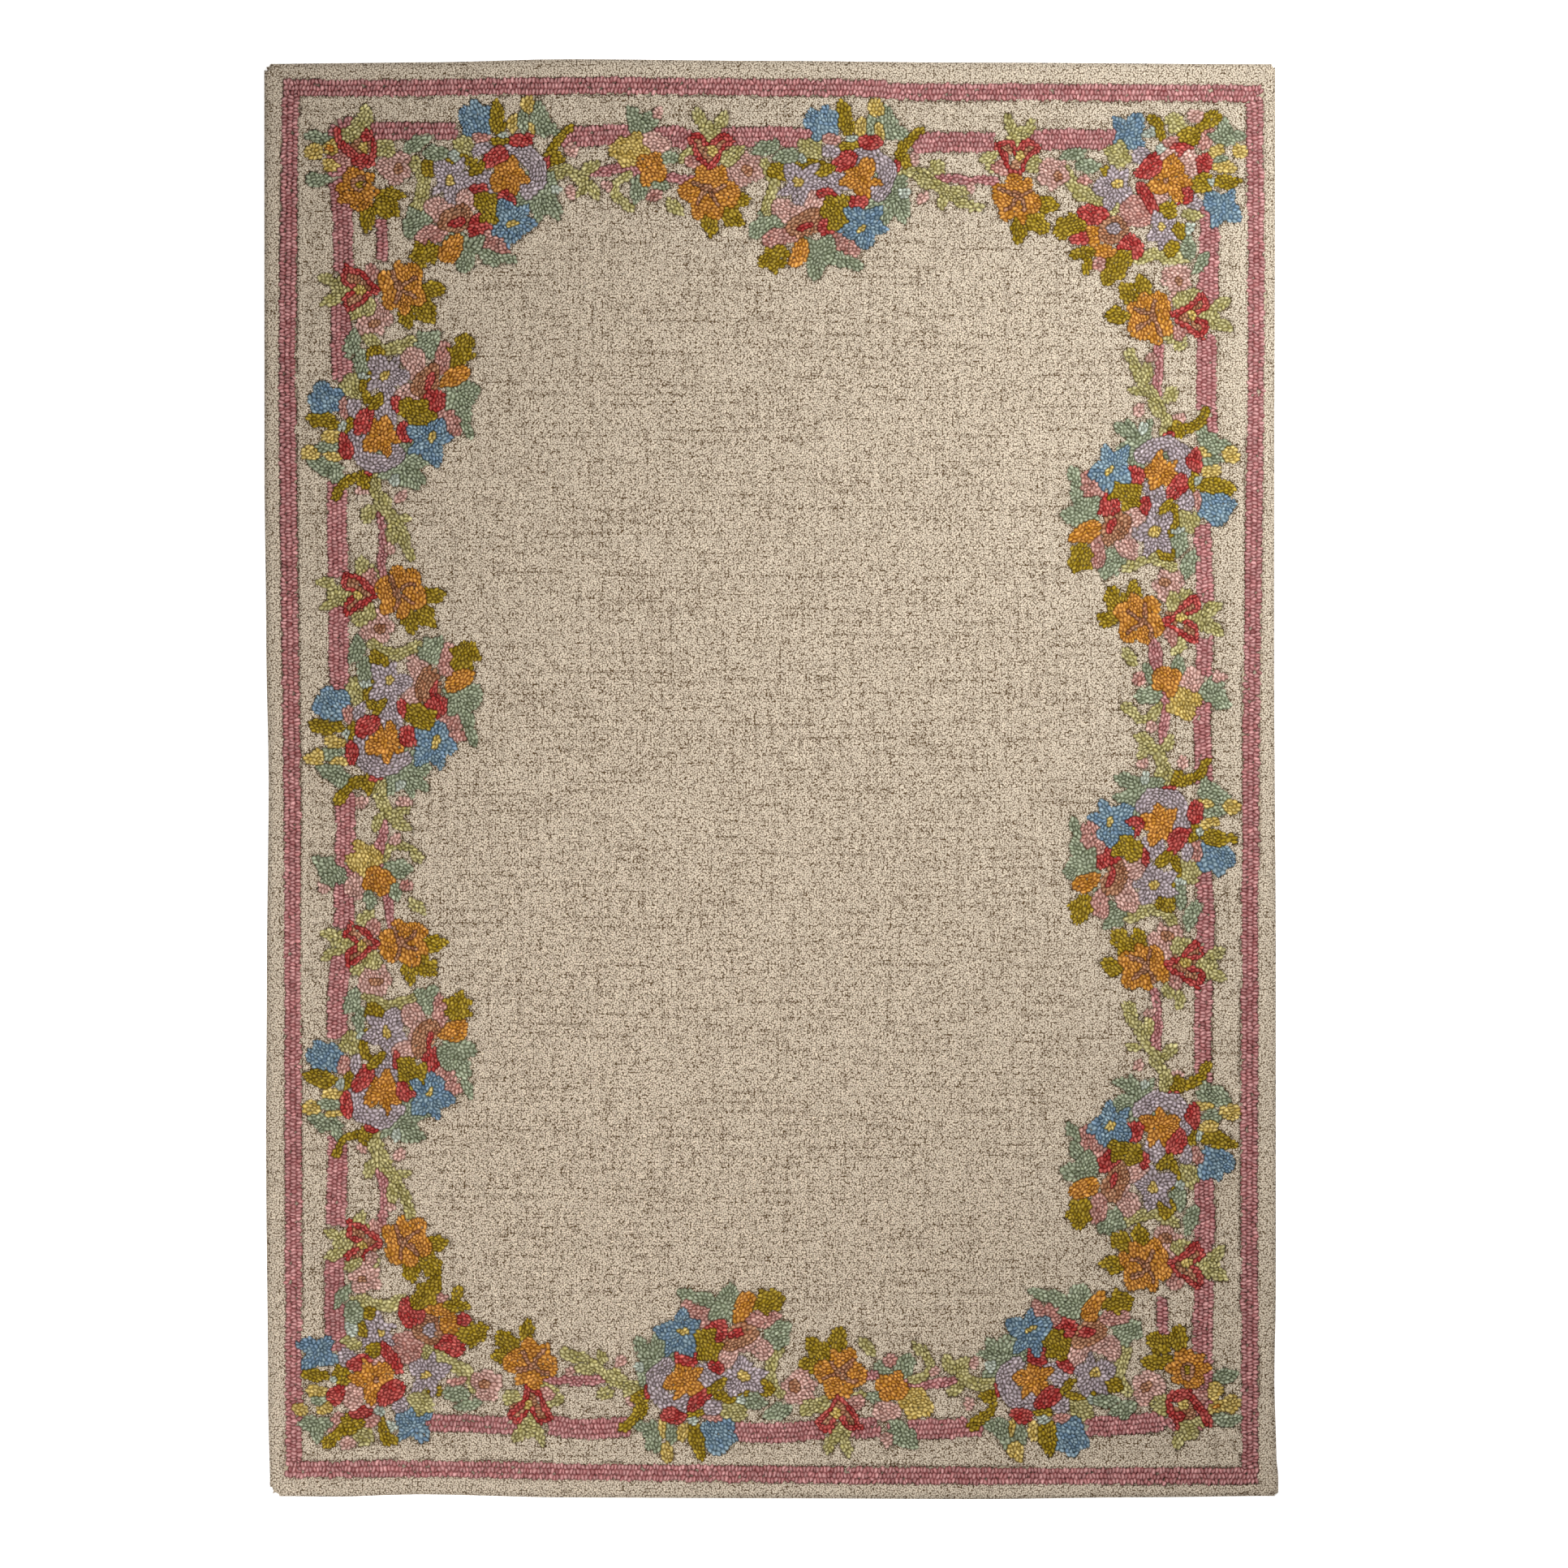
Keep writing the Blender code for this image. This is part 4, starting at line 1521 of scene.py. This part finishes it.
    @staticmethod
    def crease(piece: bpy.types.Object, valley: np.ndarray) -> None:
        """Marks the valley lines sharp, so that each cell has its own crown.

        Args:
            piece: The piece.
            valley: Whether each point lies in a valley.
        """
        edges = np.empty(2 * len(piece.data.edges), np.int32)
        piece.data.edges.foreach_get("vertices", edges)
        edges = edges.reshape(-1, 2)
        piece.data.edges.foreach_set("use_edge_sharp", valley[edges].all(axis=1))


class FoundationCloth:
    """The cotton cloth under the pile, in the rug's own outline."""

    def __init__(self, outline: RugOutline) -> None:
        """Keeps the outline."""
        self.outline = outline

    def build(self) -> bpy.types.Object:
        """Builds the cloth as a closed slab with a rounded rim.

        Returns:
            The piece.
        """
        rings = []
        for inset, height in CLOTH_RIM:
            ring = self.outline.inset_ring(inset)
            rings.append(np.column_stack([ring, np.full(len(ring), height)]))
        count = len(rings[0])
        mesh = bpy.data.meshes.new("foundation_cloth")
        faces = []
        for level in range(len(rings) - 1):
            low, high = level * count, (level + 1) * count
            for k in range(count):
                after = (k + 1) % count
                faces.append((low + k, low + after, high + after, high + k))
        faces.append(tuple(range(count))[::-1])
        faces.append(tuple(range(high, high + count)))
        mesh.from_pydata((np.vstack(rings) * MM).tolist(), [], faces)
        layer = mesh.uv_layers.new(name=BAKE_LAYER)
        size = (self.outline.high - self.outline.low) * MM
        for face in mesh.polygons:
            for corner in face.loop_indices:
                x, y, _ = mesh.vertices[mesh.loops[corner].vertex_index].co
                u = (x / size[0] + 0.5) / (2 * BAKE_MARGIN)
                below = 0.5 if face.normal.z < -0.5 else 0.0
                layer.data[corner].uv = (u + below, (y / size[1] + 0.5) / BAKE_MARGIN)
        piece = bpy.data.objects.new("foundation_cloth", mesh)
        bpy.context.scene.collection.objects.link(piece)
        return piece


@dataclass(frozen=True)
class WoolFinish:
    """How one wool looks.

    Attributes:
        bright: Colour of the lit crowns, linear.
        crevice_shade: Painted shade colour in the crevices, linear.
        second: Colour of the odd loops that differ, linear.
        second_share: Share of the loops that differ.
        tone_range: How far the loops' brightness spreads.
        mottle: How much wider patches differ.
        fibre: How much single fibres show.
        fine: How much the finest loops show between the built cells, as painted shade in their hollows and
            as bump.
    """

    bright: tuple[float, float, float]
    crevice_shade: tuple[float, float, float]
    second: tuple[float, float, float]
    second_share: float = 0.2
    tone_range: float = 0.3
    mottle: float = 0.08
    fibre: float = 1.1
    fine: float = 0.0


def linear(red: int, green: int, blue: int) -> tuple[float, float, float]:
    """A colour of a paint chart, 0 to 255 in each channel, as linear light."""
    shares = (value / 255 for value in (red, green, blue))
    return tuple(v / 12.92 if v < 0.04045 else ((v + 0.055) / 1.055) ** 2.4 for v in shares)


# Each wool: its own colour on the crowns, the painted shade colour of its crevices, then the colour of its
# odd loops
FINISHES = {
    Wool.CREAM: WoolFinish(
        linear(226, 210, 188),
        linear(88, 67, 43),
        linear(218, 200, 182),
        0.25,
        mottle=0.05,
        fibre=2.9,
        fine=0.89,
    ),
    Wool.PINK: WoolFinish(linear(210, 158, 155), linear(108, 34, 34), linear(200, 142, 140), 0.3),
    Wool.ORANGE: WoolFinish(linear(224, 162, 82), linear(116, 60, 4), linear(206, 146, 60), 0.3),
    Wool.RED: WoolFinish(linear(208, 106, 98), linear(104, 6, 8), linear(184, 72, 68), 0.35),
    Wool.BLUE: WoolFinish(linear(154, 174, 184), linear(50, 76, 92), linear(134, 157, 178), 0.4),
    Wool.LAVENDER: WoolFinish(linear(206, 190, 194), linear(82, 66, 58), linear(192, 176, 182), 0.3),
    Wool.BLUSH: WoolFinish(linear(232, 192, 180), linear(116, 76, 62), linear(218, 174, 162), 0.3),
    Wool.ROSE: WoolFinish(linear(218, 172, 160), linear(112, 58, 48), linear(202, 148, 136), 0.3),
    Wool.OLIVE: WoolFinish(linear(180, 154, 58), linear(80, 56, 2), linear(166, 140, 40), 0.3),
    Wool.SAGE: WoolFinish(linear(178, 184, 158), linear(74, 78, 48), linear(164, 171, 144), 0.35),
    Wool.CELERY: WoolFinish(linear(208, 198, 144), linear(102, 88, 36), linear(190, 180, 120), 0.3),
    Wool.YELLOW: WoolFinish(linear(228, 202, 128), linear(116, 90, 20), linear(214, 184, 104), 0.3),
    Wool.TAUPE: WoolFinish(linear(198, 150, 118), linear(88, 44, 16), linear(184, 130, 98), 0.35),
    Wool.AQUA: WoolFinish(linear(204, 210, 196), linear(110, 112, 98), linear(190, 198, 184), 0.3),
}
CANVAS_COLOUR = linear(205, 192, 165)


class NodeBoard:
    """Adds nodes to a tree from left to right and links them."""

    def __init__(self, tree: bpy.types.NodeTree) -> None:
        """Starts on an existing tree.

        Args:
            tree: The tree of a material or a group.
        """
        self.tree = tree
        self.count = 0

    def add(self, kind: str, inputs: dict | None = None, **settings: object) -> bpy.types.Node:
        """Adds a node.

        Args:
            kind: Its type.
            inputs: For each socket, by name or number, a value or the socket that feeds it.
            **settings: Its own settings.

        Returns:
            The node.
        """
        node = self.tree.nodes.new(kind)
        node.location = (200 * self.count, 0)
        self.count += 1
        for name, value in settings.items():
            setattr(node, name, value)
        for socket, value in (inputs or {}).items():
            if isinstance(value, bpy.types.NodeSocket):
                self.tree.links.new(value, node.inputs[socket])
            else:
                node.inputs[socket].default_value = value
        return node

    def blend(self, factor: object, first: object, second: object) -> bpy.types.NodeSocket:
        """Mixes two colours.

        Args:
            factor: Share of the second, a number or a socket.
            first: A colour or a socket.
            second: A colour or a socket.

        Returns:
            The mixed colour's socket.
        """
        inputs = {0: factor, 6: first, 7: second}
        return self.add("ShaderNodeMix", inputs, data_type="RGBA").outputs[2]

    def scale(self, colour: object, factor: object) -> bpy.types.NodeSocket:
        """Makes a colour lighter or darker by a factor."""
        return self.add("ShaderNodeVectorMath", {0: colour, "Scale": factor}, operation="SCALE").outputs[0]

    def sum(self, how: str, first: object, second: object, third: object = 0.0) -> bpy.types.NodeSocket:
        """Works out one value from others, as the named operation does."""
        inputs = {0: first, 1: second, 2: third}
        return self.add("ShaderNodeMath", inputs, operation=how).outputs[0]


def group_sockets(group: bpy.types.NodeTree, inputs: dict[str, tuple], outputs: dict[str, str]) -> None:
    """Gives a node group its sockets.

    Args:
        group: The group.
        inputs: For each name, the kind of socket and its usual value.
        outputs: For each name, the kind of socket.
    """
    for name, (kind, usual) in inputs.items():
        socket = group.interface.new_socket(name=name, in_out="INPUT", socket_type=kind)
        socket.default_value = usual
    for name, kind in outputs.items():
        group.interface.new_socket(name=name, in_out="OUTPUT", socket_type=kind)


COLOUR = "NodeSocketColor"
NUMBER = "NodeSocketFloat"
VECTOR = "NodeSocketVector"


class YarnEffects:
    """The shared effects of wool and cotton yarn."""

    def __init__(self) -> None:
        """Builds each group once."""
        self.loops = self.build_loops()
        self.canvas = self.build_canvas()

    @staticmethod
    def build_loops() -> bpy.types.NodeTree:
        """Builds the look of hooked wool loops: heathered tone, painted shade in the crevices and fibre
        relief.

        Returns:
            The group.
        """
        group = bpy.data.node_groups.new("hooked_wool", "ShaderNodeTree")
        inputs = {
            "Bright": (COLOUR, (0.7, 0.6, 0.5, 1)),
            "Crevice Shade": (COLOUR, (0.3, 0.2, 0.1, 1)),
            "Second": (COLOUR, (0.6, 0.5, 0.4, 1)),
            "Second Share": (NUMBER, 0.2),
            "Tone Range": (NUMBER, 0.3),
            "Mottle": (NUMBER, 0.1),
            "Fibre": (NUMBER, 0.3),
            "Fine Loops": (NUMBER, 0.0),
        }
        group_sockets(group, inputs, {"Colour": COLOUR, "Roughness": NUMBER, "Normal": VECTOR})
        board = NodeBoard(group)
        start = board.add("NodeGroupInput").outputs
        yarn = board.add("ShaderNodeAttribute", attribute_name=YARN_ATTRIBUTE)
        parts = board.add("ShaderNodeSeparateColor", {"Color": yarn.outputs["Color"]}).outputs
        place = board.add("ShaderNodeTexCoord").outputs["Object"]
        fibres = board.add(
            "ShaderNodeTexNoise", {"Vector": place, "Scale": 800.0, "Detail": 2.0, "Roughness": 0.6}
        ).outputs["Fac"]
        cell = board.add(
            "ShaderNodeTexVoronoi",
            {"Vector": place, "Scale": FINE_LOOPS, "Randomness": 0.82},
            voronoi_dimensions="2D",
        ).outputs["Distance"]
        # Hollows between the finest loops: they darken the colour as painted shade, and dent the bump
        hollow_shade_and_dent = board.add(
            "ShaderNodeMapRange", {"Value": cell, "From Min": 0.22, "From Max": 0.7}, clamp=True
        ).outputs[0]
        hollow_shade_and_dent = board.sum("MULTIPLY", hollow_shade_and_dent, start["Fine Loops"])
        mottle = board.add(
            "ShaderNodeTexNoise", {"Vector": place, "Scale": 24.0, "Detail": 3.0}
        ).outputs["Fac"]
        odd = board.sum("LESS_THAN", parts[2], start["Second Share"])
        dyed = board.blend(odd, start["Bright"], start["Second"])
        spread_tone = board.sum("SUBTRACT", parts[0], 0.5)
        spread_mottle = board.sum("SUBTRACT", mottle, 0.5)
        spread_fibre = board.sum("SUBTRACT", fibres, 0.5)
        tone = board.sum("MULTIPLY_ADD", spread_mottle, start["Mottle"], spread_tone)
        tone = board.sum("MULTIPLY_ADD", spread_fibre, start["Fibre"], tone)
        tone = board.sum("MULTIPLY", tone, start["Tone Range"])
        tone = board.sum("MULTIPLY_ADD", tone, 2.0, 1.0)
        toned = board.scale(dyed, tone)
        # Painted shade: the colour falls from the toned wool to the crevice's shade colour down each loop
        # and in the finest loops' hollows
        height = board.add(
            "ShaderNodeMath", {0: parts[1], 1: hollow_shade_and_dent}, operation="SUBTRACT", use_clamp=True
        ).outputs[0]
        colour = board.blend(height, start["Crevice Shade"], toned)
        rough = board.sum("MULTIPLY_ADD", spread_fibre, 0.2, 0.92)
        relief = board.sum("SUBTRACT", fibres, hollow_shade_and_dent)
        bump = board.add(
            "ShaderNodeBump", {"Strength": 0.5, "Distance": 0.0007, "Height": relief}
        ).outputs["Normal"]
        board.add("NodeGroupOutput", {"Colour": colour, "Roughness": rough, "Normal": bump})
        return group

    @staticmethod
    def build_canvas() -> bpy.types.NodeTree:
        """Builds the look of plain cotton canvas: two sets of threads over and under each other.

        Returns:
            The group.
        """
        group = bpy.data.node_groups.new("cotton_weave", "ShaderNodeTree")
        inputs = {"Thread": (COLOUR, (0.6, 0.5, 0.4, 1)), "Threads Per Metre": (NUMBER, 620.0)}
        group_sockets(group, inputs, {"Colour": COLOUR, "Roughness": NUMBER, "Normal": VECTOR})
        board = NodeBoard(group)
        start = board.add("NodeGroupInput").outputs
        place = board.add("ShaderNodeTexCoord").outputs["Object"]
        parts = board.add("ShaderNodeSeparateXYZ", {0: place}).outputs
        turns = board.sum("MULTIPLY", start["Threads Per Metre"], math.pi)
        warp = board.sum("ABSOLUTE", board.sum("SINE", board.sum("MULTIPLY", parts[0], turns), 0.0), 0.0)
        weft = board.sum("ABSOLUTE", board.sum("SINE", board.sum("MULTIPLY", parts[1], turns), 0.0), 0.0)
        over = board.sum("MAXIMUM", warp, weft)
        slub = board.add(
            "ShaderNodeTexNoise", {"Vector": place, "Scale": 90.0, "Detail": 4.0}
        ).outputs["Fac"]
        height = board.sum("MULTIPLY_ADD", slub, 0.5, over)
        # Painted shade where the threads dip under each other, with the slubs' own lighter and darker tone
        weave_shade_and_slub = board.sum("MULTIPLY_ADD", over, 0.35, 0.55)
        weave_shade_and_slub = board.sum("MULTIPLY_ADD", slub, 0.25, weave_shade_and_slub)
        colour = board.scale(start["Thread"], weave_shade_and_slub)
        rough = board.sum("MULTIPLY_ADD", slub, 0.2, 0.8)
        bump = board.add(
            "ShaderNodeBump", {"Strength": 0.8, "Distance": 0.0005, "Height": height}
        ).outputs["Normal"]
        board.add("NodeGroupOutput", {"Colour": colour, "Roughness": rough, "Normal": bump})
        return group

    def dress(self, name: str, group: bpy.types.NodeTree, values: dict, sheen: float) -> bpy.types.Material:
        """Makes a material from one of the effects.

        Args:
            name: The material's name.
            group: The effect.
            values: Values of the effect's inputs.
            sheen: How much soft sheen the fibres give.

        Returns:
            The material.
        """
        material = bpy.data.materials.new(name)
        material.use_nodes = True
        material.node_tree.nodes.clear()
        board = NodeBoard(material.node_tree)
        effect = board.add("ShaderNodeGroup", None, node_tree=group)
        for socket, value in values.items():
            effect.inputs[socket].default_value = value
        out = effect.outputs
        inputs = {
            "Base Color": out["Colour"],
            "Roughness": out["Roughness"],
            "Normal": out["Normal"],
            "Sheen Weight": sheen,
            "Sheen Roughness": 0.5,
            "Specular IOR Level": 0.02,
        }
        shader = board.add("ShaderNodeBsdfPrincipled", inputs)
        board.add("ShaderNodeOutputMaterial", {"Surface": shader.outputs["BSDF"]})
        return material

    def wool(self, kind: Wool) -> bpy.types.Material:
        """Makes the material of one wool.

        Args:
            kind: The wool.

        Returns:
            The material.
        """
        finish = FINISHES[kind]
        values = {
            "Bright": (*finish.bright, 1),
            "Crevice Shade": (*finish.crevice_shade, 1),
            "Second": (*finish.second, 1),
            "Second Share": finish.second_share,
            "Tone Range": finish.tone_range,
            "Mottle": finish.mottle,
            "Fibre": finish.fibre,
            "Fine Loops": finish.fine,
        }
        return self.dress(kind.value, self.loops, values, 0.02)

    def cotton(self) -> bpy.types.Material:
        """Makes the material of the foundation cloth."""
        return self.dress("cotton_canvas", self.canvas, {"Thread": (*CANVAS_COLOUR, 1)}, 0.1)


@dataclass(frozen=True)
class Studio:
    """The pale floor, the soft lights and the camera straight above."""

    camera_x: float = 0.0182
    camera_y: float = -0.0072
    camera_height: float = 9.0
    frame_side: float = 2.332
    floor_side: float = 14.0
    lamp_x: float = 0.15
    lamp_y: float = 0.08
    lamp_height: float = 1.85
    lamp_length: float = 5.6
    lamp_width: float = 0.5
    lamp_turn: float = 55.0
    lamp_power: float = 63.0
    window_x: float = 1.05
    window_y: float = 0.95
    window_height: float = 1.3
    window_size: float = 0.8
    window_power: float = 9.5
    window_turn: tuple[float, float, float] = (-12.0, 20.0, 0.0)
    window_colour: tuple[float, float, float] = (0.86, 0.95, 1.0)
    room_light: float = 0.22

    def floor(self) -> bpy.types.Object:
        """Makes the floor.

        Returns:
            The floor.
        """
        half = self.floor_side / 2
        mesh = bpy.data.meshes.new("floor")
        corners = [(-half, -half, 0), (half, -half, 0), (half, half, 0), (-half, half, 0)]
        mesh.from_pydata(corners, [], [(0, 1, 2, 3)])
        piece = bpy.data.objects.new("floor", mesh)
        bpy.context.scene.collection.objects.link(piece)
        material = bpy.data.materials.new("pale_floor")
        material.use_nodes = True
        shader = material.node_tree.nodes["Principled BSDF"]
        shader.inputs["Base Color"].default_value = (0.93, 0.93, 0.93, 1)
        shader.inputs["Roughness"].default_value = 0.8
        shader.inputs["Specular IOR Level"].default_value = 0.1
        shader.inputs["Emission Color"].default_value = (1, 1, 1, 1)
        shader.inputs["Emission Strength"].default_value = 0.6
        mesh.materials.append(material)
        return piece

    @staticmethod
    def area_light(name: str, size: float, power: float, place: tuple, turn: tuple) -> bpy.types.AreaLight:
        """Hangs a soft light that the camera doesn't see.

        Args:
            name: Its name.
            size: Its length, or the side of a square one.
            power: Its power in watts.
            place: Where it hangs, in metres.
            turn: Degrees that it is turned about each axis.

        Returns:
            The light.
        """
        light = bpy.data.lights.new(name, "AREA")
        light.size = size
        light.energy = power
        lamp = bpy.data.objects.new(name, light)
        lamp.location = place
        lamp.rotation_euler = [math.radians(angle) for angle in turn]
        lamp.visible_camera = False
        bpy.context.scene.collection.objects.link(lamp)
        return light

    def strip_lamp(self) -> None:
        """Hangs one long soft lamp over the rug, from near its left corner to its far right one."""
        place = (self.lamp_x, self.lamp_y, self.lamp_height)
        turn = (0.0, 0.0, self.lamp_turn)
        light = self.area_light("strip_lamp", self.lamp_length, self.lamp_power, place, turn)
        light.shape = "RECTANGLE"
        light.size_y = self.lamp_width

    def window(self) -> None:
        """Adds the cooler light that falls on the far right corner, turned towards the rug."""
        place = (self.window_x, self.window_y, self.window_height)
        light = self.area_light("window", self.window_size, self.window_power, place, self.window_turn)
        light.color = self.window_colour

    def set_up(self) -> bpy.types.Object:
        """Sets up the floor, the lights, the world and the camera.

        Returns:
            The floor.
        """
        scene = bpy.context.scene
        scene.view_settings.view_transform = "Standard"
        world = bpy.data.worlds.new("soft_room")
        scene.world = world
        world.use_nodes = True
        world.node_tree.nodes["Background"].inputs["Color"].default_value = (1, 1, 1, 1)
        world.node_tree.nodes["Background"].inputs["Strength"].default_value = self.room_light
        self.strip_lamp()
        self.window()
        camera = bpy.data.cameras.new("camera")
        camera.sensor_width = 36.0
        camera.lens = 36.0 * self.camera_height / self.frame_side
        camera.clip_end = 100.0
        eye = bpy.data.objects.new("camera", camera)
        eye.location = (self.camera_x, self.camera_y, self.camera_height)
        scene.collection.objects.link(eye)
        scene.camera = eye
        return self.floor()


def draw_border(chart: BorderChart) -> None:
    """Draws the bands and then the motifs over them.

    Args:
        chart: The chart to draw on.
    """
    for run in OUTER_BANDS + INNER_BANDS + THIN_BANDS:
        chart.draw_line(Wool.PINK, np.array(run.points, float), run.width, in_rows=True)
    for placement in PLACEMENTS:
        chart.draw_placement(placement)


def main() -> None:
    """Builds the rug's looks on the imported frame, piece by piece."""
    logging.basicConfig(level=logging.INFO, format="%(name)s: %(message)s")
    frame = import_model()
    rng = np.random.default_rng(SEED)
    outline = RugOutline.from_solid(frame["nodes"][RUG_NODE])
    effects = YarnEffects()
    chart = BorderChart(outline, rng)
    draw_border(chart)
    border = BorderPile(chart.regions(), rng).build()
    pile = []
    for wool, piece in border:
        piece.data.materials.append(effects.wool(wool))
        pile.append(piece)
        LOG.info("%s: %d triangles", piece.name, len(piece.data.polygons))
    ground_material = effects.wool(Wool.CREAM)
    for piece in GroundPile(outline, chart, rng).build():
        piece.data.materials.append(ground_material)
        pile.append(piece)
        LOG.info("%s: %d triangles", piece.name, len(piece.data.polygons))
    cloth = FoundationCloth(outline).build()
    cloth.data.materials.append(effects.cotton())
    LOG.info("%s: %d faces", cloth.name, len(cloth.data.polygons))
    for piece in [cloth, *pile]:
        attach(piece, RUG_BODY)
        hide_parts(RUG_NODE)
    Studio().set_up()


if __name__ == "__main__":
    main()
